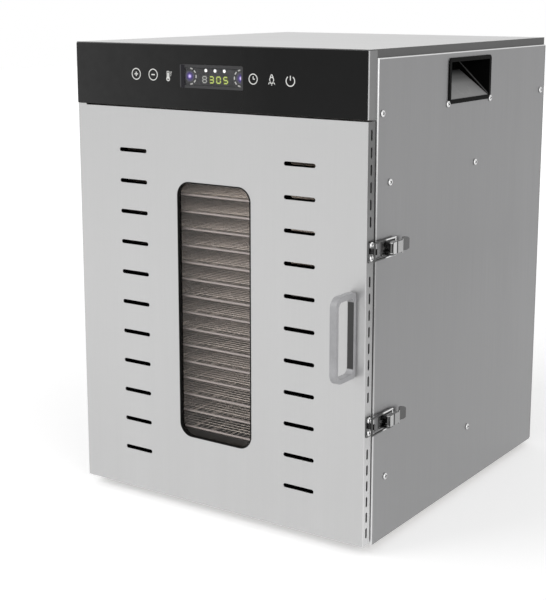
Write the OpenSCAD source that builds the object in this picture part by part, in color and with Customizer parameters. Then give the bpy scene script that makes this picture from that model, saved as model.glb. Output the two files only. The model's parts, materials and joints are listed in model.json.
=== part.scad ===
// Cabinet food dehydrator: sheet-steel case, glazed door with two draw latches,
// sixteen sliding wire trays, rear fan and ring heater.
// Cabinet coordinates: X = 0 on the middle plane, Y = 0 on the door's face, Z = 0 on the floor.

/* [Cabinet] */
// Width over the outer side panels
cabinet_w = 420; // [412:1:460]
// Depth of the cabinet behind the door
cabinet_d = 448; // [440:1:500]
// Height from the base's underside to the top cover
cabinet_h = 563; // [556:1:620]
// Thickness of the outer sheet
sheet_t = 1.2; // [0.8:0.1:1.5]
// How far the side panels stand proud of the front and the top cover
panel_proud = 2; // [1.5:0.5:4]
// Height of the top cover's folded flanges
top_flange_h = 9.5; // [8:0.5:14]
// Width of the side panels' folded returns
return_w = 9; // [8:0.5:9]
// Outside radius of the folded corners
bend_r = 1.8; // [1.5:0.1:2.4]
// Gap left where one pressed part drops inside another
fit_gap = 0.3; // [0.2:0.05:0.5]
// Height of the base pan's wall
pan_h = 18; // [14:1:20]

/* [Feet] */
// Height of the rubber feet under the base
foot_h = 9; // [6:1:14]
// Radius of a foot at its widest
foot_r = 13; // [9:1:18]
// Distance of a foot's middle from the cabinet's edges
foot_inset = 55; // [40:1:80]

/* [Door] */
// Thickness of the door
door_t = 15; // [14:0.5:18]
// Gap between the closed door and the cabinet
door_gap = 2; // [1.5:0.5:3]
// Height of the door's lower edge above the cabinet's underside
door_lift = 3; // [3:0.5:6]
// Seam between the door and the control housing
door_seam = 2; // [1.5:0.5:3]
// Radius of the hinge pins
hinge_pin_r = 3; // [2:0.25:3]
// Distance of the hinge axis from the door's left edge
hinge_in = 5; // [5:0.5:6]
// Distance of the hinge axis behind the door's face
hinge_y = 8; // [7:0.5:8.5]
// Thickness of the door seal's rubber strip
seal_w = 4.5; // [3:0.5:5]

/* [Window] */
// Width of the window
window_w = 104; // [80:1:130]
// Height of the window
window_h = 313; // [240:1:340]
// Corner radius of the window
window_r = 16; // [8:1:24]
// Thickness of the pane
glass_t = 4; // [3:0.5:5]
// Depth of the pane's face behind the door's face
glass_inset = 3; // [2.5:0.25:5]
// Width of the rubber lining round the window
lining_t = 1.5; // [1:0.25:2.5]

/* [Door vents] */
// Rows of vent slots
vent_rows = 11; // [6:1:12]
// Distance between rows
vent_pitch = 38; // [34:1:39]
// Length of a vent slot
vent_len = 42; // [30:1:50]
// Height of a vent slot
vent_h = 5; // [3:0.5:7]
// Distance of a slot's middle from the door's middle
vent_x = 120.5; // [105:0.5:130]
// Length of a slot in the door's edge
edge_slot_len = 12.3; // [8:0.1:14]
// Width of a slot in the door's edge
edge_slot_w = 3.5; // [2:0.5:5]
// Distance between slots in the door's edge
edge_slot_pitch = 18.9; // [16:0.1:19.5]
// Distance of the outer groups of edge slots from the door's middle
edge_group_z = 180; // [170:1:185]

/* [Door handle] */
// Width of the handle
handle_w = 9; // [7:0.5:14]
// Reach of the handle from the door's face
handle_reach = 42; // [34:1:50]
// Height of the handle
handle_h = 98; // [80:1:130]
// Thickness of the grip
handle_bar_t = 5; // [4:0.5:9]
// Thickness of the base strip on the door
handle_base_t = 5; // [4:0.5:10]
// Distance of the handle's middle from the door's right edge
handle_inset = 16.3; // [14:0.1:24]
// Height of the handle's middle above the door's middle
handle_lift = 6; // [0:0.5:30]

/* [Control panel] */
// Height of the control housing
control_h = 74.5; // [70:0.5:78]
// Thickness of the black touch panel
overlay_t = 1; // [0.8:0.1:1.5]
// Bare metal left beside the touch panel
overlay_margin = 1.8; // [1:0.1:4]
// Width of the display's lens
display_w = 90.5; // [70:0.5:110]
// Height of the display's lens
display_h = 27; // [20:0.5:34]
// Distance between touch symbols
key_pitch = 26; // [22:0.5:28]
// Thickness of a circuit board
board_t = 1.6; // [1:0.1:2]

/* [Side handles] */
// Width of a side handle's rim
cup_w = 113; // [100:1:124]
// Height of a side handle's rim
cup_h = 54; // [46:1:58]
// Distance of its middle behind the cabinet's front
cup_y_from_front = 220.5; // [200:0.5:240]
// Distance of its middle below the top
cup_drop = 43; // [42:0.5:46]
// Depth of the finger pocket
cup_depth = 40; // [30:1:44]
// Width of the rim's face
cup_rim = 5; // [3:0.5:7]
// How far the rim stands proud of the side panel
cup_proud = 1.5; // [1:0.5:3]
// Wall of the moulded cup
cup_wall = 2; // [1.5:0.25:3]

/* [Latches] */
// Distance of the latches above and below the door's middle
latch_z_off = 100; // [90:1:105]
// Distance of the lever's pivot behind the cabinet's front
latch_pivot_y = 23; // [21:0.5:27]
// Height of the lever's pivot above the side panel
latch_pivot_h = 6; // [5.5:0.25:7]
// Distance from the lever's pivot back to the bail's pivot
latch_throw = 14; // [12:0.5:16]
// Height of the bail's pivot above the side panel
bail_h = 3.5; // [3.25:0.25:4]
// Radius of the bail's wire
bail_r = 1.2; // [0.9:0.1:1.4]
// Half the height of the bail, to its wire's middle
bail_half = 9.8; // [9.8:0.1:12]
// Length of the lever behind its pivot
lever_len = 38; // [36:1:50]

/* [Drying chamber] */
// Distance from the side panels' outside to the chamber's side
wall_gap = 16; // [15.5:0.5:20]
// Height of the chamber's floor above the base's underside
floor_gap = 43; // [40:1:50]
// Distance of the chamber's ceiling below the top
deck_gap = 126; // [122:1:130]
// Thickness of the chamber's lining sheet
liner_t = 0.8; // [0.6:0.1:1.2]
// Distance of the rear baffle ahead of the cabinet's back
baffle_from_back = 120; // [112:1:126]

/* [Trays] */
// Number of trays
tray_count = 16; // [8:1:16]
// Height of the lowest tray's rim above the chamber's floor
tray_lift = 45; // [38:1:48]
// Height of the chamber's ceiling above the top tray's rim
tray_head = 34; // [30:1:40]
// Drop from the lowest tray to the drip tray
drip_drop = 21; // [19:0.5:21]
// Gap between a tray's side and the rack's web
tray_side_gap = 5; // [3:0.5:6]
// Depth of a tray, front to back
tray_d = 296; // [260:1:300]
// Distance of a tray's front behind the cabinet's front
tray_set_back = 11; // [10:0.5:16]
// Diameter of the rim rod
rim_d = 3; // [2.5:0.25:5]
// Corner radius of the rim, to the rod's middle
rim_r = 14; // [8:1:24]
// Diameter of the wires across the tray
wire_d = 2; // [1.5:0.1:2.4]
// Number of wires across the tray
wire_count = 13; // [7:2:17]
// Height of the drip tray's rim
drip_h = 9; // [6:0.5:12]
// Thickness of the racks' sheet
rack_t = 1.2; // [0.8:0.1:1.6]
// Width of a runner
runner_w = 12; // [9:0.5:14]

/* [Fan and heater] */
// Radius of the impeller
fan_r = 84; // [70:1:86]
// Number of blades
fan_blades = 5; // [3:1:7]
// Radius of the impeller's hub
hub_r = 17; // [14:1:22]
// Axial depth of the hub
hub_h = 18; // [14:1:20]
// Distance of the impeller's middle ahead of the back panel
fan_from_back = 62; // [58:1:66]
// Radius of the motor shaft
shaft_r = 3; // [2.5:0.25:4]
// Radius of the motor
motor_r = 31; // [26:1:36]
// Length of the motor
motor_l = 34; // [28:1:36]
// Radius of the heater ring, to the tube's middle
heater_ring_r = 98; // [96:1:110]
// Radius of the heater tube
heater_tube_r = 4; // [3:0.25:5]
// Radius of the air inlet in the back panel
inlet_r = 88; // [80:1:90]
// Radius of the guard's wire
guard_wire_r = 1.3; // [1:0.1:1.8]

/* [Screws] */
// Radius of a screw's head
screw_head_r = 4; // [3:0.25:4.5]
// Height of a screw's head
screw_head_h = 1.8; // [1.2:0.1:2.5]
// Radius of a screw's shank
screw_r = 1.9; // [1.5:0.1:2.2]

/* [Hidden] */
$fn = 48;
eps = 0.01;
// Running clearance of pins and shafts, on the radius
run_gap = 0.05;
// Clearance between pieces that slide past each other
slide_gap = 0.3;

half_w = cabinet_w / 2;
front_half = half_w - panel_proud;
panel_in = half_w - sheet_t;
base_z = foot_h;
top_z = base_z + cabinet_h;
side_top = top_z - top_flange_h;
cab_front = door_t + door_gap;
cab_back = cab_front + cabinet_d;
back_in = cab_back - sheet_t;
frame_y = cab_front + sheet_t;
frame_in = frame_y + sheet_t;
inner_half = panel_in - fit_gap;

door_z0 = base_z + door_lift;
control_z0 = top_z - control_h;
control_z1 = top_z - sheet_t;
door_z1 = control_z0 - door_seam;
door_mid = (door_z0 + door_z1) / 2;
door_in = door_t - sheet_t;
hinge_x = hinge_in - front_half;
hinge_block = 10;
hinge_tab_h = door_seam - slide_gap;
hinge_tab_w = 14;
bracket_t = 2;
lining_w = 8;
lining_back = glass_inset + glass_t + 2;
lining_lip = 0.5;
lining_rear = 2.5;

handle_x = front_half - handle_inset;
handle_z = door_mid + handle_lift;

display_z = control_z0 + control_h / 2 + 1;
display_x = -1.6;
board_y = 8;
key_xs = [for (k = [-4.35, -3.35, -2.4, 2.33, 3.34, 4.35]) k * key_pitch];
key_r = 5;

cavity_half = half_w - wall_gap;
cavity_z0 = base_z + floor_gap;
cavity_z1 = top_z - deck_gap;
baffle_y = cab_back - baffle_from_back;

tray_half = cavity_half - rack_t - tray_side_gap;
tray_y0 = cab_front + tray_set_back;
tray_y1 = tray_y0 + tray_d;
rack_y0 = tray_y0 - 4;
rack_y1 = tray_y1 + 6;
tray_pitch = (cavity_z1 - tray_head - cavity_z0 - tray_lift) / (tray_count - 1);
function tray_z(i) = cavity_z0 + tray_lift + (i < 1 ? -drip_drop : (i - 1) * tray_pitch);
function runner_z(i) = tray_z(i) - rim_d / 2 - slide_gap;
rack_z0 = runner_z(0) - 9;
rack_z1 = runner_z(tray_count) + 24;
function tray_name(i) = str("tray_", i < 10 ? "0" : "", i);

cup_y = cab_front + cup_y_from_front;
cup_z = top_z - cup_drop;
cup_mouth_w = cup_w - 2 * cup_rim;
cup_mouth_h = cup_h - 2 * cup_rim;

rack_post_r = 5;
rack_screw_zs = [rack_z0 + 19, rack_z1 - 8];
rack_screw_ys = [rack_y0 + 21, rack_y0 + 234];
cup_screw_dy = cup_w / 2 + 0.5;
cup_screw_z = cup_z - cup_h / 2 + 0.5;
deck_screw_z = top_z - 69;
deck_screw_ys = [cab_front + 9, cab_back - 14];
side_nut_screws = [for (y = deck_screw_ys) [y, deck_screw_z]];
rack_screws = [for (y = rack_screw_ys, z = rack_screw_zs) [y, z]];
cup_screws = [for (s = [-1, 1]) [cup_y + s * cup_screw_dy, cup_screw_z]];
shank_l = 9;
back_screw_zs = [base_z + 25, (base_z + side_top) / 2, side_top - 25];
back_screw_x = half_w - return_w / 2 - 0.5;

fan_z = (cavity_z0 + cavity_z1) / 2;
fan_y = back_in - fan_from_back;
motor_y1 = back_in - 8;
motor_y0 = motor_y1 - motor_l;
guard_y = cab_back + 4.5;
guard_r = inlet_r + 5;
bracket_arm_r = inlet_r + 12;

latch_zs = [door_mid + latch_z_off, door_mid - latch_z_off];
pivot_x = half_w + latch_pivot_h;
pivot_y = cab_front + latch_pivot_y;
bail_x = half_w + bail_h;
bail_y = pivot_y + latch_throw;
keeper_y = hinge_y;
bail_front_y = keeper_y;
ear_in = bail_half - bail_r - 1.8;
ear_t = 1.2;
lever_half = ear_in - slide_gap;
tail_half = bail_half - bail_r - 0.7;
lever_t = 1.2;
lever_top = pivot_x + 3;
lug_r = bail_h - ear_t - slide_gap;

inlet_x = half_w - 62;
inlet_z = base_z + pan_h + 5;

// The frame's origin is the middle of the whole object's footprint
frame_dx = (half_w + screw_head_h - lever_top - lever_t) / 2;
frame_dy = (handle_reach - guard_y - guard_wire_r - screw_head_h) / 2;

steel = [0.72, 0.72, 0.73];
steel_light = [0.8, 0.8, 0.8];
steel_inner = [0.62, 0.62, 0.63];
black_plastic = [0.09, 0.09, 0.09];
panel_black = [0.14, 0.14, 0.14];
rubber = [0.12, 0.12, 0.12];

// ---------- shared shapes ----------

module in_frame() translate([frame_dx, frame_dy, 0]) children();

// Rounded rectangle between two corners
module rr(x0, y0, x1, y1, r) {
    translate([x0 + r, y0]) square([x1 - x0 - 2 * r, y1 - y0]);
    translate([x0, y0 + r]) square([x1 - x0, y1 - y0 - 2 * r]);
    for (x = [x0 + r, x1 - r], y = [y0 + r, y1 - r]) translate([x, y]) circle(r);
}

// Rounded rectangle given by its middle
module rrc(w, h, r) rr(-w / 2, -h / 2, w / 2, h / 2, r);

// Slot with round ends along the first axis
module slot(len, h) {
    square([len - h, h], center = true);
    for (s = [-1, 1]) translate([s * (len - h) / 2, 0]) circle(h / 2);
}

// Sheet standing across Y: its outline is drawn in X and Z
module plate_xz(y, t) translate([0, y + t, 0]) rotate([90, 0, 0]) linear_extrude(t) children();

// Sheet standing across X: its outline is drawn in Y and Z
module plate_yz(x, t) translate([x, 0, 0]) rotate([90, 0, 90]) linear_extrude(t) children();

// Box between two corners
module box(a, b) translate(a) cube(b - a);

// Rod along one axis, from a start point
module rod_x(p, l, r) translate(p) rotate([0, 90, 0]) cylinder(r = r, h = l);
module rod_y(p, l, r) translate(p) rotate([-90, 0, 0]) cylinder(r = r, h = l);
module rod_z(p, l, r) translate(p) cylinder(r = r, h = l);

// Mirrors the right side's part to the left
module side(s) mirror([s < 0 ? 1 : 0, 0, 0]) children();

// Screw standing on a face at the origin, its head towards +Z
module screw(shank = shank_l, nut = 0) {
    intersection() {
        translate([0, 0, screw_head_h - screw_head_r * 1.6]) sphere(screw_head_r * 1.6);
        cylinder(r = screw_head_r, h = screw_head_h);
    }
    translate([0, 0, -shank]) cylinder(r = screw_r, h = shank + eps);
    if (nut > 0) difference() {
        translate([0, 0, -sheet_t - nut]) cylinder(r = screw_r * 2.2, h = nut, $fn = 6);
        translate([0, 0, -sheet_t - nut - 1]) cylinder(r = screw_r - eps, h = nut + 2);
    }
}

// ---------- outer case ----------

// Side panel: a skin folded inwards at its front, back and top
module side_panel(s) in_frame() side(s) color(steel) difference() {
    union() {
        translate([0, 0, base_z]) linear_extrude(side_top - base_z) difference() {
            union() {
                translate([half_w - return_w, cab_front])
                    square([return_w - bend_r, back_in - cab_front]);
                translate([half_w - bend_r, cab_front + bend_r])
                    square([bend_r, back_in - cab_front - 2 * bend_r]);
                for (y = [cab_front + bend_r, back_in - bend_r])
                    translate([half_w - bend_r, y]) circle(bend_r);
            }
            translate([half_w - return_w - 1, frame_y])
                square([return_w - sheet_t + 1, back_in - sheet_t - frame_y]);
        }
        box([half_w - return_w, frame_y - eps, side_top - sheet_t],
            [half_w - sheet_t / 2, back_in - sheet_t + eps, side_top]);
    }
    plate_yz(half_w - 2 * sheet_t, 4 * sheet_t) translate([cup_y, cup_z])
        rrc(cup_w - cup_rim, cup_h - cup_rim, 4);
    for (p = concat(side_nut_screws, rack_screws, cup_screws))
        rod_x([half_w - 2 * sheet_t, p[0], p[1]], 4 * sheet_t, screw_r + run_gap);
    for (z = back_screw_zs) rod_y([back_screw_x, back_in - 2 * sheet_t, z], 3 * sheet_t, screw_r + run_gap);
}

module left_side_panel() side_panel(-1);
module right_side_panel() side_panel(1);

// Top cover: flanged all round, with a lip that runs out over the control housing
module top_cover() in_frame() color(steel_light) {
    difference() {
        translate([0, 0, side_top]) linear_extrude(top_flange_h)
            rr(-front_half, cab_front, front_half, cab_back, bend_r);
        translate([0, 0, side_top - 1]) linear_extrude(top_flange_h + 1 - sheet_t)
            rr(sheet_t - front_half, frame_y, front_half - sheet_t, back_in, bend_r / 2);
    }
    box([-front_half, overlay_t, control_z1], [front_half, cab_front + bend_r, top_z]);
}

module back_panel() in_frame() color(steel) difference() {
    plate_xz(back_in, sheet_t) difference() {
        rr(-half_w + fit_gap, base_z, half_w - fit_gap, side_top, bend_r);
        translate([0, fan_z]) circle(inlet_r);
        translate([inlet_x, inlet_z]) rrc(28.4, 20.4, 3);
        for (x = [-1, 1], z = back_screw_zs) translate([x * back_screw_x, z]) circle(screw_r + run_gap);
        for (a = [45:90:315]) translate([guard_r * cos(a), fan_z + guard_r * sin(a)])
            circle(screw_r + run_gap);
        for (a = [0:90:270]) translate([bracket_arm_r * cos(a), fan_z + bracket_arm_r * sin(a)])
            circle(screw_r + run_gap);
    }
}

module base_pan() in_frame() color(steel_inner) difference() {
    box([-inner_half, frame_in, base_z], [inner_half, back_in - sheet_t, base_z + pan_h]);
    box([sheet_t - inner_half, frame_in + sheet_t, base_z + sheet_t],
        [inner_half - sheet_t, back_in - 2 * sheet_t, base_z + pan_h + 1]);
    for (p = foot_places()) rod_z([p[0], p[1], base_z - 1], sheet_t + 2, screw_r + run_gap);
    box([inlet_x - 15, back_in - 3 * sheet_t, inlet_z - 11], [inlet_x + 15, back_in, base_z + pan_h + 1]);
}

function foot_places() = [for (x = [foot_inset - half_w, half_w - foot_inset],
    y = [cab_front + foot_inset, cab_back - foot_inset]) [x, y]];

// Rubber feet: tapered, recessed for the screw that holds each one
module rubber_feet() in_frame() color(rubber) for (p = foot_places())
    translate([p[0], p[1], 0]) {
        difference() {
            cylinder(r1 = foot_r - 2, r2 = foot_r, h = foot_h);
            translate([0, 0, -1]) cylinder(r = screw_head_r + 1, h = foot_h / 2 + 1);
            translate([0, 0, -1]) cylinder(r = screw_r + run_gap, h = foot_h + 2);
        }
    }

// Front frame: the bulkhead round the chamber's mouth
module front_frame() in_frame() color(steel_inner) {
    difference() {
        plate_xz(frame_y, sheet_t) difference() {
            rr(-inner_half, base_z, inner_half, side_top - sheet_t - fit_gap, 2);
            rr(-cavity_half, cavity_z0, cavity_half, cavity_z1, 4);
            translate([0, control_z0 + control_h / 2]) rrc(60, 24, 6);
        }
    }
}

// ---------- controls ----------

module control_housing() in_frame() color(steel_light) difference() {
    translate([0, 0, control_z0]) linear_extrude(control_z1 - control_z0) {
        translate([-front_half, overlay_t + bend_r]) square([2 * front_half, cab_front - overlay_t - bend_r]);
        translate([-front_half, overlay_t]) square([2 * front_half - bend_r, bend_r + eps]);
        translate([front_half - bend_r, overlay_t + bend_r]) circle(bend_r);
    }
    box([sheet_t - front_half, overlay_t + sheet_t, control_z0 + sheet_t],
        [front_half - sheet_t, cab_front + 1, control_z1 - sheet_t]);
    plate_xz(0, 4) translate([display_x, display_z]) rrc(display_w - 6, display_h - 6, 2);
    for (x = key_xs) rod_y([x, 0, display_z], 4, key_r + 1);
    rod_z([hinge_x, hinge_y, control_z0 - 1], sheet_t + 2, hinge_pin_r + run_gap);
}

module touch_panel() in_frame() color(panel_black) plate_xz(0, overlay_t) difference() {
    rr(-front_half, control_z0, front_half - overlay_margin, control_z1, 0.6);
    translate([display_x, display_z]) rrc(display_w, display_h, 1.5);
}

module display_lens() in_frame() color([0.2, 0.2, 0.22]) plate_xz(0, overlay_t)
    translate([display_x, display_z]) rrc(display_w - 0.2, display_h - 0.2, 1.4);

// Display board with its digit module and touch springs, and the power board with its parts
module circuit_boards() in_frame() {
    display_board();
    power_board();
}

board_half = 4.9 * key_pitch;
module display_board() {
    front_in = overlay_t + sheet_t;
    color([0.05, 0.3, 0.12]) plate_xz(board_y, board_t) translate([0, display_z]) rrc(2 * board_half, 40, 2);
    color(black_plastic) box([display_x - display_w / 2 + 4, overlay_t + 0.5, display_z - display_h / 2 + 4],
        [display_x + display_w / 2 - 4, board_y, display_z + display_h / 2 - 4]);
    color("gold") for (x = key_xs) rod_y([x, overlay_t, display_z], board_y - overlay_t, key_r);
    color("white") for (x = [-1, 1], z = [-1, 1])
        rod_y([x * (board_half - 5), front_in, display_z + z * 15], board_y - front_in, 3);
}

power_x = -half_w + 125;
power_y = cab_back - 115;
power_z = cavity_z1 + liner_t + 10;
module power_board() {
    color([0.05, 0.3, 0.12]) translate([power_x, power_y, power_z]) linear_extrude(board_t) rrc(140, 100, 3);
    color("white") for (x = [-62, 62], y = [-42, 42])
        rod_z([power_x + x, power_y + y, power_z - 10], 10, 3.5);
    top = power_z + board_t;
    color([0.8, 0.6, 0.1]) box([power_x - 55, power_y - 35, top], [power_x - 20, power_y, top + 30]);
    color([0.1, 0.3, 0.7]) for (x = [0, 26]) box([power_x + x, power_y - 38, top], [power_x + x + 19, power_y - 22, top + 16]);
    color([0.2, 0.2, 0.2]) for (x = [-5, 15]) rod_z([power_x + x, power_y + 12, top], 22, 7);
    color([0.2, 0.6, 0.3]) box([power_x - 50, power_y + 30, top], [power_x + 50, power_y + 42, top + 12]);
}

// ---------- drying chamber ----------

module liner_wall(s) in_frame() side(s) color(steel_inner) difference() {
    plate_yz(cavity_half, liner_t)
        translate([frame_in, cavity_z0 - liner_t]) square([back_in - frame_in, cavity_z1 - cavity_z0 + 2 * liner_t]);
    for (p = rack_screws) rod_x([cavity_half - 1, p[0], p[1]], 4, rack_post_r + fit_gap);
    if (s < 0) rod_x([cavity_half - 1, probe_y, probe_z], 4, probe_r + run_gap);
}
module liner_left() liner_wall(-1);
module liner_right() liner_wall(1);

module liner_sheet(z) in_frame() color(steel_inner)
    box([-cavity_half, frame_in, z], [cavity_half, back_in, z + liner_t]);
module liner_ceiling() liner_sheet(cavity_z1);
module liner_floor() liner_sheet(cavity_z0 - liner_t);

// Rear baffle: spreads the fan's air over all the trays
module rear_baffle() in_frame() color(steel_inner) plate_xz(baffle_y, sheet_t) difference() {
    gap = fit_gap;
    rr(gap - cavity_half, cavity_z0 + gap, cavity_half - gap, cavity_z1 - gap, 2);
    rows = floor((cavity_z1 - cavity_z0 - 40) / tray_pitch);
    for (k = [0:rows - 1], x = [-1, 0, 1]) translate([x * cavity_half * 0.6, fan_z + (k - (rows - 1) / 2) * tray_pitch])
        slot(cavity_half * 0.48, 8);
}

// Tray rack: a web with one runner for each tray and one for the drip tray
module tray_rack(s) in_frame() side(s) color(steel) difference() {
    union() {
        translate([0, rack_y1, 0]) rotate([90, 0, 0]) linear_extrude(rack_y1 - rack_y0) {
            translate([cavity_half - rack_t, rack_z0]) square([rack_t, rack_z1 - rack_z0]);
            for (i = [0:tray_count]) translate([cavity_half - rack_t - runner_w, runner_z(i) - rack_t])
                square([runner_w + eps, rack_t]);
        }
        for (p = rack_screws) rod_x([cavity_half - eps, p[0], p[1]], panel_in - cavity_half + eps, rack_post_r);
    }
    for (p = rack_screws) rod_x([cavity_half + 2, p[0], p[1]], panel_in - cavity_half, screw_r + run_gap);
    for (i = [1:tray_count - 1]) plate_yz(cavity_half - 2 * rack_t, 3 * rack_t)
        translate([(rack_y0 + rack_y1) / 2, runner_z(i) + tray_pitch / 2]) slot(tray_d * 0.3, 8);
}
module left_tray_rack() tray_rack(-1);
module right_tray_rack() tray_rack(1);

// Wire tray: a round rod bent into a rim, with wires welded across it
module tray(i) in_frame() color(steel_light) {
    z = tray_z(i);
    x = tray_half - rim_d / 2;
    y0 = tray_y0 + rim_d / 2;
    y1 = tray_y1 - rim_d / 2;
    for (s = [-1, 1]) rod_y([s * x, y0 + rim_r, z], y1 - y0 - 2 * rim_r, rim_d / 2);
    for (y = [y0, y1]) rod_x([rim_r - x, y, z], 2 * (x - rim_r), rim_d / 2);
    for (c = [[x - rim_r, y1 - rim_r, 0], [rim_r - x, y1 - rim_r, 90],
              [rim_r - x, y0 + rim_r, 180], [x - rim_r, y0 + rim_r, 270]])
        translate([c[0], c[1], z]) rotate([0, 0, c[2]])
            rotate_extrude(angle = 90) translate([rim_r, 0]) circle(rim_d / 2);
    pitch = 2 * (x - rim_r) / (wire_count - 1);
    for (k = [0:wire_count - 1]) rod_y([rim_r - x + k * pitch, y0, z], y1 - y0, wire_d / 2);
}

// Drip tray: a shallow pan that hangs on the lowest runners by its lip
module drip_tray() in_frame() color(steel_light) {
    z = runner_z(0) + slide_gap;
    lip = runner_w - tray_side_gap + 3;
    w = tray_half - lip;
    difference() {
        union() {
            translate([0, 0, z]) linear_extrude(sheet_t) rr(-tray_half, tray_y0, tray_half, tray_y1, 4);
            translate([0, 0, z - drip_h]) linear_extrude(drip_h + eps) rr(-w, tray_y0 + 6, w, tray_y1 - 6, 8);
        }
        translate([0, 0, z - drip_h + sheet_t]) linear_extrude(drip_h + sheet_t)
            rr(sheet_t - w, tray_y0 + 6 + sheet_t, w - sheet_t, tray_y1 - 6 - sheet_t, 8 - sheet_t);
    }
}

// ---------- air and heat ----------

blade_chord = 44;
blade_pitch = 28;
blade_camber_r = 60;
// Impeller: cambered blades on a round hub, with the motor's shaft
module fan_impeller() in_frame() translate([0, fan_y, fan_z]) rotate([-90, 0, 0]) color([0.75, 0.75, 0.76]) {
    intersection() {
        for (k = [0:fan_blades - 1]) rotate([0, 0, k * 360 / fan_blades]) blade();
        cylinder(r = fan_r, h = 2 * hub_h, center = true);
    }
    translate([0, 0, -hub_h / 2]) cylinder(r = hub_r, h = hub_h);
    translate([0, 0, -hub_h / 2 - 3]) cylinder(r1 = hub_r - 6, r2 = hub_r, h = 3 + eps);
    cylinder(r = shaft_r, h = motor_y0 - fan_y + 12);
}

// One blade: a slice of a thin tube, pitched about its radial axis
module blade() rotate([0, 90, 0]) rotate([0, 0, 90 - blade_pitch])
    linear_extrude(fan_r + 2) intersection() {
        translate([0, -blade_camber_r]) difference() {
            circle(blade_camber_r + 0.75);
            circle(blade_camber_r - 0.75);
        }
        square([blade_chord, 16], center = true);
    }

module fan_motor() in_frame() translate([0, motor_y0, fan_z]) rotate([-90, 0, 0]) color([0.3, 0.3, 0.32]) difference() {
    union() {
        cylinder(r = motor_r, h = motor_l);
        translate([0, 0, -4]) cylinder(r = 9, h = 4 + eps);
    }
    translate([0, 0, -5]) cylinder(r = shaft_r + run_gap, h = 19);
    for (a = [0:30:330]) rotate([0, 0, a + 15]) translate([motor_r, 0, motor_l / 2])
        cube([5, 4, motor_l - 12], center = true);
}

// Motor bracket: a cross of straps on four spacers
module motor_bracket() in_frame() color(steel) {
    difference() {
        plate_xz(motor_y1, 2) translate([0, fan_z]) {
            rrc(2 * bracket_arm_r + 16, 20, 6);
            rrc(20, 2 * bracket_arm_r + 16, 6);
            circle(motor_r - 4);
        }
        for (a = [0:90:270]) rod_y([bracket_arm_r * cos(a), motor_y1 - 1, fan_z + bracket_arm_r * sin(a)],
            4, screw_r + run_gap);
    }
    for (a = [0:90:270]) difference() {
        rod_y([bracket_arm_r * cos(a), motor_y1 + 2 - eps, fan_z + bracket_arm_r * sin(a)], back_in - motor_y1 - 2 + eps, 5);
        rod_y([bracket_arm_r * cos(a), motor_y1, fan_z + bracket_arm_r * sin(a)], back_in - motor_y1 + 1, screw_r + run_gap);
    }
}

// Rear guard: rings of wire on two crossed spokes, screwed over the air inlet
module fan_guard() in_frame() color(steel_light) translate([0, 0, fan_z]) {
    ring_step = (guard_r - 5) / 5;
    for (k = [1:5]) translate([0, guard_y, 0]) rotate([90, 0, 0])
        rotate_extrude() translate([k * ring_step, 0]) circle(guard_wire_r);
    for (a = [45, 135]) rotate([0, -a, 0])
        rod_x([-guard_r + 3, guard_y - 1.7 * guard_wire_r, 0], 2 * guard_r - 6, guard_wire_r);
    for (a = [45:90:315]) rotate([0, -a, 0]) difference() {
        rod_y([guard_r, cab_back, 0], guard_y + guard_wire_r - cab_back, 5);
        rod_y([guard_r, cab_back - 1, 0], guard_y + 5 - cab_back, screw_r + run_gap);
    }
}

// Heater: a tube bent into a ring round the impeller, with two terminal legs and two clips
module heater_element() in_frame() translate([0, fan_y, fan_z]) color([0.35, 0.33, 0.32]) {
    leg = back_in - fan_y;
    rotate([90, 0, 0]) rotate_extrude() translate([heater_ring_r, 0]) circle(heater_tube_r);
    for (a = [-105, -75, 30, 150]) rotate([0, a, 0]) {
        rod_y([heater_ring_r, 0, 0], leg - 3, heater_tube_r * 0.8);
        rod_y([heater_ring_r, leg - 3 - eps, 0], 3 + eps, heater_tube_r + 3);
    }
}

lamp_y = cab_front + 22;
module interior_lamp() in_frame() {
    color([0.95, 0.93, 0.85]) box([-20, lamp_y - 8, cavity_z1 - 5], [20, lamp_y + 8, cavity_z1]);
    color(black_plastic) rod_z([0, lamp_y, cavity_z1 + liner_t], 14, 9);
}

probe_r = 3;
probe_y = baffle_y - 12;
probe_z = cavity_z1 - 6;
// Temperature probe in the chamber's side, with its fixing collar
module temperature_sensor() in_frame() side(-1) color([0.5, 0.5, 0.52]) {
    rod_x([cavity_half - 45, probe_y, probe_z], 45 + liner_t + 6, probe_r);
    rod_x([cavity_half + liner_t, probe_y, probe_z], 5, probe_r + 3);
}

// Mains inlet: a flanged three-blade socket
module power_inlet() in_frame() translate([inlet_x, 0, inlet_z]) {
    color(black_plastic) difference() {
        union() {
            plate_xz(cab_back, 2.5) rr(-25, -12, 25, 12, 5);
            plate_xz(cab_back - 28, 28 + eps) rrc(28, 20, 3);
        }
        plate_xz(cab_back - 17, 22) rrc(24.5, 16.5, 3.5);
        for (s = [-1, 1]) rod_y([s * 20, cab_back - 1, 0], 5, screw_r + run_gap);
    }
    color("silver") for (p = [[-7, -2], [7, -2], [0, 3]])
        plate_xz(cab_back - 17 - eps, 15) translate(p) square([2, 4], center = true);
}

// ---------- side handles ----------

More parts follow.
